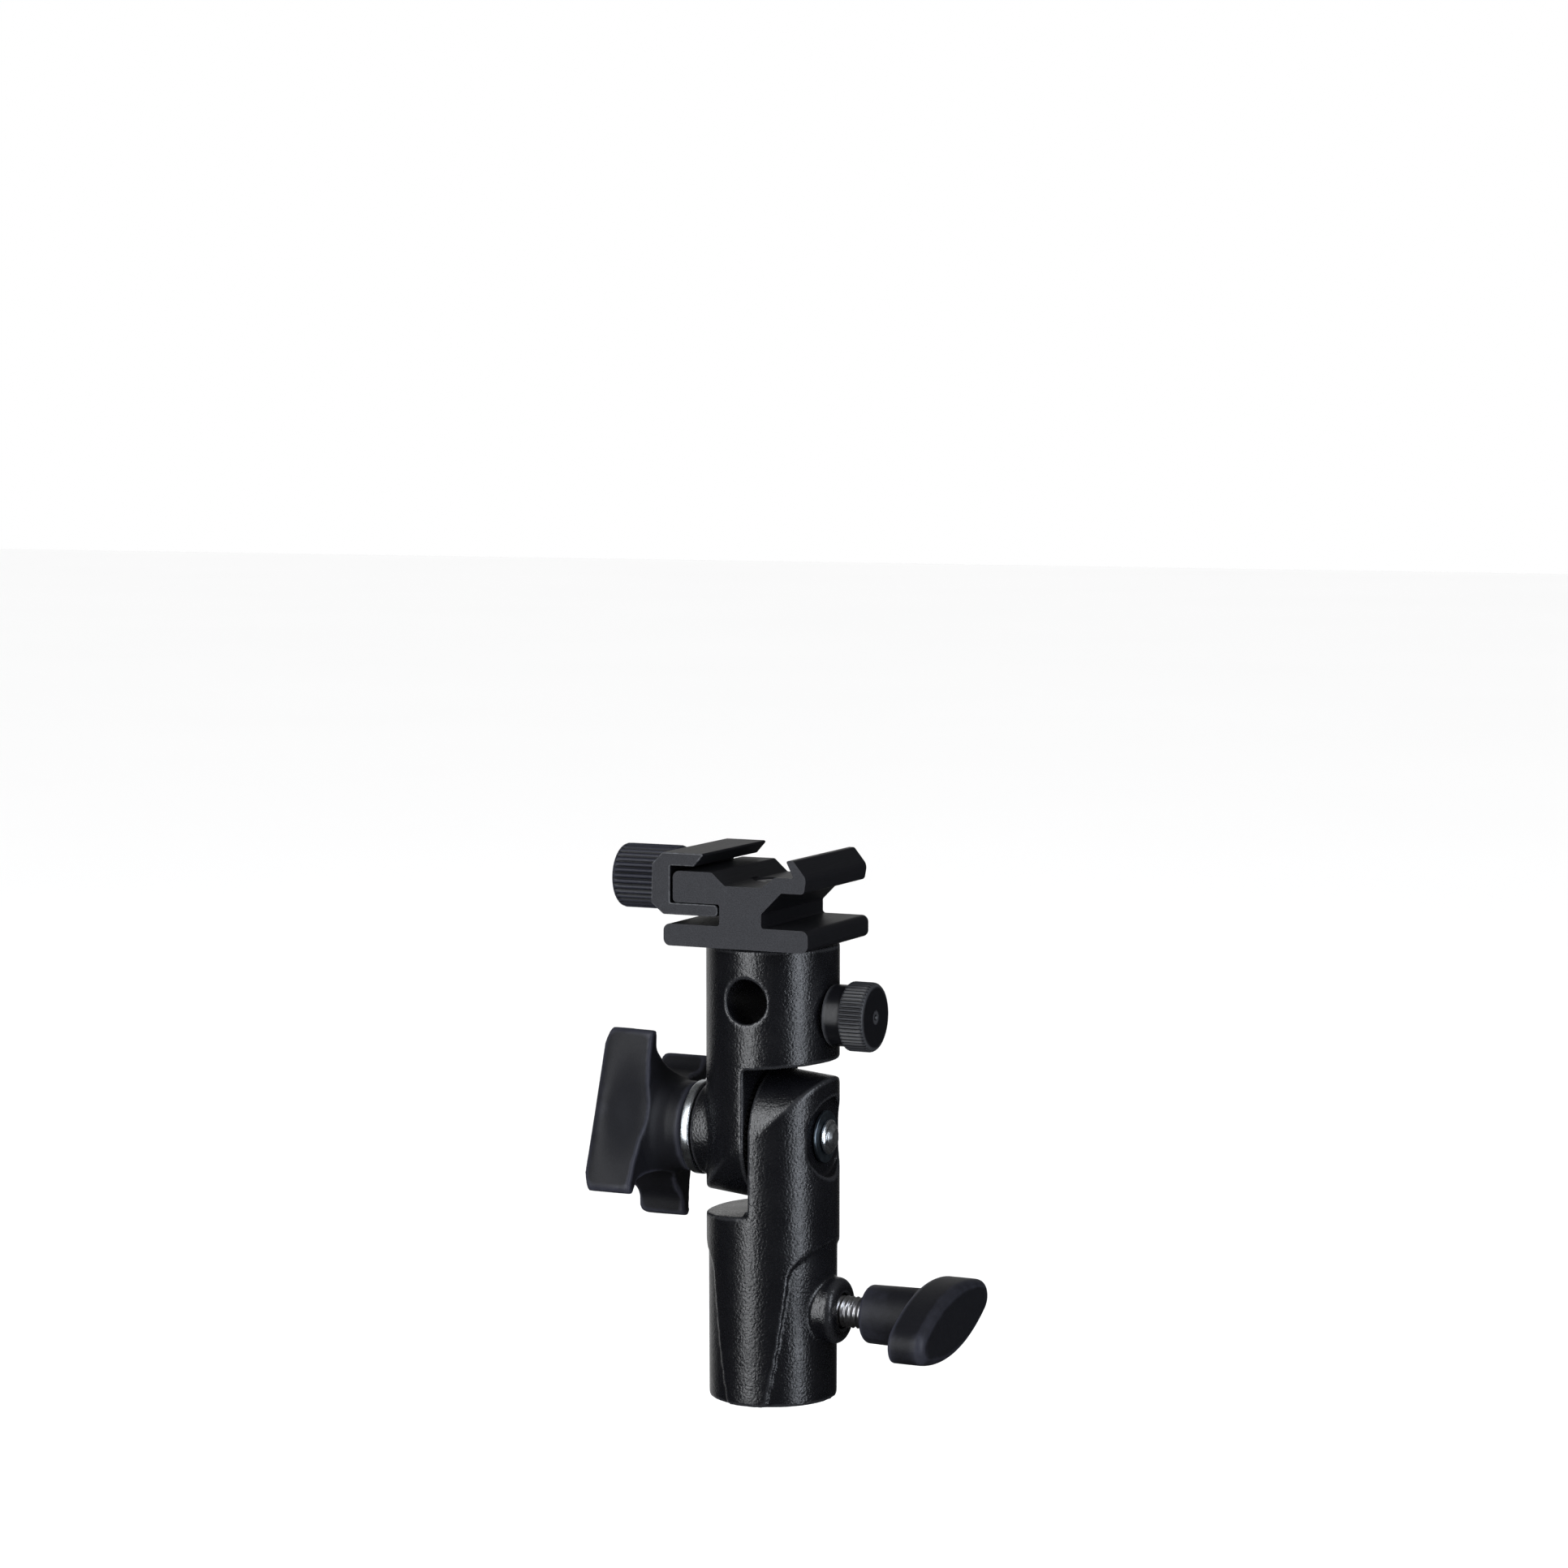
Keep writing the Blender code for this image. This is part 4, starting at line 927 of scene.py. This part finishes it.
def winged_stand_handle(plastic):
    """A lens-shaped wing with a soft outer edge on a slightly tapered hub."""
    low, high = span("stand_knob")
    wing = high.x - 7.0
    outline = np.array(wing_outline(half=16.5, wide=6.2, tip=3.4))
    along = np.roll(outline, -1, 0) - np.roll(outline, 1, 0)
    normal = np.stack([along[:, 1], -along[:, 0]], 1)
    normal /= np.linalg.norm(normal, axis=1)[:, None]
    normal *= -np.sign((normal * outline).sum(1))[:, None]
    full = high.x - WING_SOFT
    stations = [(wing, 0.35), (wing + 0.1, 0.1), (wing + 0.35, 0.0)]
    stations += [(full - (full - wing) * (1 - k / 6), 0.0) for k in range(1, 6)]
    stations += [(full + WING_SOFT * math.sin(t), WING_SOFT * (1 - math.cos(t)))
                 for t in np.linspace(0, math.pi / 2 * 0.9, 9)]
    rings = [(x, outline + normal * inset) for x, inset in stations]
    edge = rings[-1][1]
    for share in (0.85, 0.65, 0.4, 0.15):
        rings.append((high.x - 0.02 - 0.03 * share, edge * share))
    knob = loft("winged_stand_handle", rings, matrix((WING_TURN, "X"), (0, 0, STAND_AXIS)),
                plastic)
    hub = revolve("hub", rounded([
        (low.x, 0, 0), (low.x, 5.45, 0.9), (wing - 0.6, 5.65, 0.5), (wing + 0.2, 6.0, 0.0),
        (wing + 2, 5.6, 0), (wing + 2, 0, 0)]), STAND_AXIS, ())
    bore = rod(SCREW_HOLE, low.x - 1, wing + 1.8, centre=(0, 0, STAND_AXIS))
    combine(knob, "UNION", hub)
    combine(knob, "DIFFERENCE", bore)
    bake(knob)
    knob.data.shade_smooth()
    knob.data.set_sharp_from_angle(angle=math.radians(40))
    mark_edges(knob, 0)
    settle(knob, "stand_knob")


def finger_outline(middle):
    """Two broad ends, whose middles are at a given reach, and two hollows for the fingers."""
    corner, width = 13.8, 15.8
    neck = corner - 2.6
    half = [(corner, -width, 1.2), (middle, 0, 20), (corner, width, 1.2),
            (neck, width - 0.3, 0.6), (neck - 1.3, width - 3.4, 2.5), (0, 8.1, 12),
            (1.3 - neck, width - 3.4, 2.5), (-neck, width - 0.3, 0.6)]
    corners = rounded(half + [(-a, -b, radius) for a, b, radius in half])
    outline = []
    for one, two in zip(corners, corners[1:] + corners[:1]):
        outline += [(one[0] + (two[0] - one[0]) * i / 4, one[1] + (two[1] - one[1]) * i / 4)
                    for i in range(4)]
    return outline


def finger_knob(plastic):
    """The tilt knob: a trumpet trimmed to two broad, scooped ends and two finger hollows."""
    low, high = span("tilt_knob")
    face, end = high.x, low.x
    rim = 22.0
    flare = face - 5.3
    knob = revolve("finger_knob", [
        (face, 0), (face, 8.1), (face - 0.4, 8.5), (flare + 2.3, 8.5), (flare + 0.9, 9.3),
        (flare, 10.3), (flare - 0.6, 12.1), (flare - 0.8, 15.4), (flare - 0.4, rim),
        (end + 2.8, rim), (end + 0.7, rim - 2), (end - 0.3, rim - 4.2), (end - 0.3, 0)],
        TILT, (plastic,))
    rings = [(end, 13.4), (end + 0.4, 14.1), (end + 1.0, 14.5), (end + 1.8, 14.7)]
    for step in range(1, 11):
        t = step / 10
        rings.append((end + 1.8 + (flare - end - 1.8) * t, 14.7 - 4.2 * t * t * (3 - 2 * t)))
    rings.append((face + 2, rings[-1][1]))
    blank = loft("blank", [(x, finger_outline(middle)) for x, middle in rings],
                 matrix((FINGER_TURN, "X"), (0, 0, TILT)))
    combine(knob, "INTERSECT", blank)
    combine(knob, "DIFFERENCE", rod(5.3, span("tilt_knob_insert")[0].x - GAP, face + 1,
                                    centre=(0, 0, TILT)))
    cast_skin(knob, FINGER_VOXEL, 8)
    bake(knob)
    mark_edges(knob, 2)
    settle(knob, "tilt_knob")


def washer(name, node, steel, inner, soft):
    """A flat washer with an inner radius; the press has made its outer edges soft."""
    low, high = span(node)
    outer = (high.z - low.z) / 2
    profile = rounded([(low.x, inner, 0.1), (high.x, inner, 0.1), (high.x, outer, soft),
                       (low.x, outer, soft)], steps=6)
    settle(revolve(name, divided(profile, 0.6, closed=True), TILT, (steel,), closed=True), node)


def riveted_bolt(steel):
    """The hinge bolt: a threaded end, a round shank, a collar and a riveted tip with three
    soft flats."""
    low, high = span("tilt_bolt")
    collar = span("tilt_bolt_washer")[1].x + 0.3
    profile = rounded([
        (high.x, 0, 0), (high.x, 1.6, 0.2), (high.x - 0.5, 2.4, 0.2), (collar + 0.75, 2.45, 0.1),
        (collar + 0.7, 2.9, 0.15), (collar + 0.35, 3.25, 0.2), (collar, 3.25, 0.1),
        (collar, 2.5, 0), (collar - 1.2, 2.5, 0), (collar - 1.2, SCREW_RADIUS, 0),
        (low.x, SCREW_RADIUS, 0.5), (low.x, 0, 0)], steps=4)
    bolt = revolve("riveted_bolt", divided(profile, 0.5), TILT, (steel,), sides=144)
    groove(bolt, TILT, steel, around=3, depth=0.35, start=high.x - 1.0, end=high.x + 1,
           inner=0.9)
    groove(bolt, TILT, steel, around=1, along=1 / SCREW_PITCH, depth=0.5, start=low.x, end=-13.6,
           inner=2.0)
    settle(bolt, "tilt_bolt")


def threaded_shank(name, node, height, steel):
    """A shank of a 6 mm screw, whose outside carries a thread."""
    low, high = span(node)
    steps = round((high.x - low.x) / SCREW_PITCH * 8)
    profile = [(low.x, 0), (low.x, SCREW_RADIUS - 0.5), (low.x + 0.25, SCREW_RADIUS - 0.25)]
    profile += [(x, SCREW_RADIUS) for x in np.linspace(low.x + 0.5, high.x - 0.1, steps)]
    profile += [(high.x, SCREW_RADIUS - 0.1), (high.x, 0)]
    shank = revolve(name, profile, height, (steel,), sides=64)
    groove(shank, height, steel, around=1, along=1 / SCREW_PITCH, depth=THREAD_DEPTH,
           start=low.x - 1, end=high.x - 0.2, inner=0.5 * SCREW_RADIUS, fade=0.2)
    settle(shank, node)


def jaw_screw(steel):
    """The jaw's screw, with its head inside the knob."""
    low, high = span("jaw_screw")
    core = span("jaw_knob")[1].x - 3.0
    profile = rounded([
        (high.x, 0, 0), (high.x, 1.5, 0.3), (core, 1.5, 0), (core, 3.2, 0.2), (low.x, 3.2, 0.2),
        (low.x, 0, 0)], steps=4)
    screw = revolve("jaw_screw_thread", divided(profile, 0.1), JAW_AXIS, (steel,), sides=48)
    groove(screw, JAW_AXIS, steel, around=1, along=2.0, depth=0.28, start=core + 0.2,
           end=high.x + 1, inner=0.7, fade=0.15)
    settle(screw, "jaw_screw")


def hidden_pieces(steel, brass):
    """The knob's insert, the hinge spring, and the screw and pin under the shoe."""
    low, high = span("tilt_knob_insert")
    profile = rounded([(low.x, SCREW_HOLE, 0.1), (high.x, SCREW_HOLE, 0.1), (high.x, 5.0, 0.3),
                       (low.x, 5.0, 0.3)], steps=3)
    insert = revolve("knurled_insert", divided(profile, 0.5, closed=True), TILT, (brass,),
                     sides=INSERT_RIBS * 8, closed=True)
    groove(insert, TILT, brass, around=INSERT_RIBS, depth=0.25, start=low.x + 0.4,
           end=high.x - 0.4, inner=4.6)
    settle(insert, "tilt_knob_insert")
    low, high = span("tilt_spring")
    coil = add_object("hinge_spring", bpy.data.meshes.new("hinge_spring"))
    grow(coil, COIL, {
        "Turns": SPRING_TURNS, "Radius": SPRING_RADIUS * MM, "Wire": SPRING_WIRE * MM,
        "Length": (high.x - low.x - 2 * SPRING_WIRE) * MM, "Height": TILT * MM,
        "Material": steel})
    settle(coil, "tilt_spring")
    low, high = span("shoe_screw")
    profile = [(low.z, 0), (low.z, 1.7), (low.z + 0.3, 2.0), (high.z - 1.4, 2.0),
               (high.z - 0.2, 3.15), (high.z, 3.15), (high.z, 1.4), (high.z - 1.8, 1.35),
               (high.z - 1.8, 0)]
    screw = revolve("countersunk_screw", profile, 0, (steel,), sides=96)
    screw.data.transform(matrix((-90, "Y")))
    settle(screw, "shoe_screw")
    low, high = span("shoe_locating_pin")
    profile = rounded([(low.z, 0, 0), (low.z, 1.5, 0.3), (high.z, 1.5, 0.3), (high.z, 0, 0)])
    pin = revolve("locating_pin", profile, 0, (steel,), sides=64)
    pin.data.transform(matrix(place=(0, (low.y + high.y) / 2, 0)) @ matrix((-90, "Y")))
    settle(pin, "shoe_locating_pin")


# ---------------------------------------------------------------------- stage

def strip_light(name, azimuth, height, width, power, color):
    """A soft box that stands upright at an azimuth, in degrees, and faces the object."""
    lamp = bpy.data.lights.new(name, "AREA")
    lamp.shape = "RECTANGLE"
    lamp.size = width
    lamp.size_y = STRIP_LENGTH
    lamp.energy = power
    lamp.color = color
    made = bpy.data.objects.new(name, lamp)
    bpy.context.scene.collection.objects.link(made)
    turn = math.radians(azimuth)
    made.location = (STRIP_DISTANCE * math.sin(turn), -STRIP_DISTANCE * math.cos(turn), height)
    away = Vector(made.location) - Vector(STRIP_AIM)
    made.rotation_mode = "QUATERNION"
    made.rotation_quaternion = away.to_track_quat("Z", "Y")


def surroundings():
    """White all round for the camera and for matt surfaces; glossy ones see a dark studio
    with the white sweep behind the object."""
    world = bpy.data.worlds.new("studio")
    world.use_nodes = True
    bpy.context.scene.world = world
    world.node_tree.nodes.clear()
    graph = Graph(world.node_tree)
    direction = graph.node("ShaderNodeTexCoord", output="Generated")
    behind = graph.vector("DOT_PRODUCT", direction, SWEEP_TOWARDS, output="Value")
    sweep = graph.clamp((behind - 0.78) / 0.16)
    above = graph.clamp(graph.node("ShaderNodeSeparateXYZ", None, {0: direction}, "Z") * 1.2)
    glossy = STUDIO_DARK + sweep * SWEEP_GLOW + above * SKY_GLOW
    path = graph.tree.nodes.new("ShaderNodeLightPath")
    is_camera = Wire(graph, path.outputs["Is Camera Ray"])
    is_glossy = Wire(graph, path.outputs["Is Glossy Ray"])
    seen = is_glossy * glossy + (1.0 - is_glossy) * MATT_LIGHT
    strength = is_camera + (1.0 - is_camera) * seen
    sky = graph.node("ShaderNodeBackground", None, {0: (1, 1, 1, 1), 1: strength})
    leave = graph.tree.nodes.new("ShaderNodeOutputWorld")
    graph.feed(leave.inputs[0], sky)


def stage():
    """A pale floor under the object, two strip lights and the studio round them."""
    low = CAD_BOX[0].z - FLOOR_DROP
    shape = bmesh.new()
    bmesh.ops.create_grid(shape, x_segments=2, y_segments=2, size=6.0,
                          matrix=Matrix.Translation((0, 0, low)))
    pale = Finish("pale_floor", roughness=0.8)
    tone = pale.noise(400.0, 2.0, 0.5)
    pale.color(pale.blend(tone, (0.93, 0.93, 0.93), (0.95, 0.95, 0.95)))
    floor = from_shape("floor", shape, pale.material)
    floor.visible_glossy = False
    strip_light("left_strip", -18, height=0.25, width=0.24, power=6.6, color=(0.95, 0.97, 1.0))
    strip_light("right_strip", 71, height=0.2, width=0.2, power=5.4, color=(0.86, 0.91, 1.0))
    surroundings()
    bpy.context.scene.view_settings.view_transform = "Standard"


def camera():
    """A long lens a little above the shoe, 25 degrees to the right of the front."""
    data = bpy.data.cameras.new("camera")
    data.lens = CAMERA_LENS
    data.sensor_width = 36.0
    made = bpy.data.objects.new("camera", data)
    bpy.context.scene.collection.objects.link(made)
    made.location = CAMERA_PLACE
    made.rotation_euler = [math.radians(turn) for turn in CAMERA_TURN]
    bpy.context.scene.camera = made


# ---------------------------------------------------------------------- build

def build():
    paint = casting_paint()
    face = sawn_face()
    side = anodised()
    plastic = moulded_plastic("black_nylon", (0.0042, 0.0044, 0.0062), 0.5)
    ribbed = moulded_plastic("ribbed_nylon", (0.0036, 0.0038, 0.0054), 0.42)
    coat = lacquer()
    steel = plated("turned_steel", (0.45, 0.45, 0.46), (0.62, 0.62, 0.63), 0.3)
    zinc = plated("bright_zinc", (0.55, 0.58, 0.6), (0.75, 0.78, 0.8), 0.28)
    dark_zinc = plated("dark_zinc", (0.1, 0.13, 0.16), (0.2, 0.24, 0.28), 0.35)
    brass = plated("brass", (0.5, 0.36, 0.14), (0.68, 0.52, 0.25), 0.3)
    lower_casting(paint)
    upper_casting(paint)
    tooth_ring("lower_teeth", LOWER_EAR, "lower_body", paint)
    tooth_ring("upper_teeth", UPPER_EAR, "upper_body", paint)
    shoe((side, face, rubbed_edge()))
    ribbed_jaw_knob(ribbed)
    knurled_thumb_head(coat)
    winged_stand_handle(plastic)
    finger_knob(plastic)
    washer("thick_washer", "tilt_washer", zinc, SCREW_HOLE, 0.35)
    washer("rivet_washer", "tilt_bolt_washer", dark_zinc, RIVET_WASHER_HOLE, 0.15)
    riveted_bolt(zinc)
    threaded_shank("stand_screw_thread", "stand_screw", STAND_AXIS, steel)
    threaded_shank("umbrella_screw_thread", "umbrella_screw", UMBRELLA_AXIS, steel)
    jaw_screw(steel)
    hidden_pieces(steel, brass)


build()
stage()
camera()
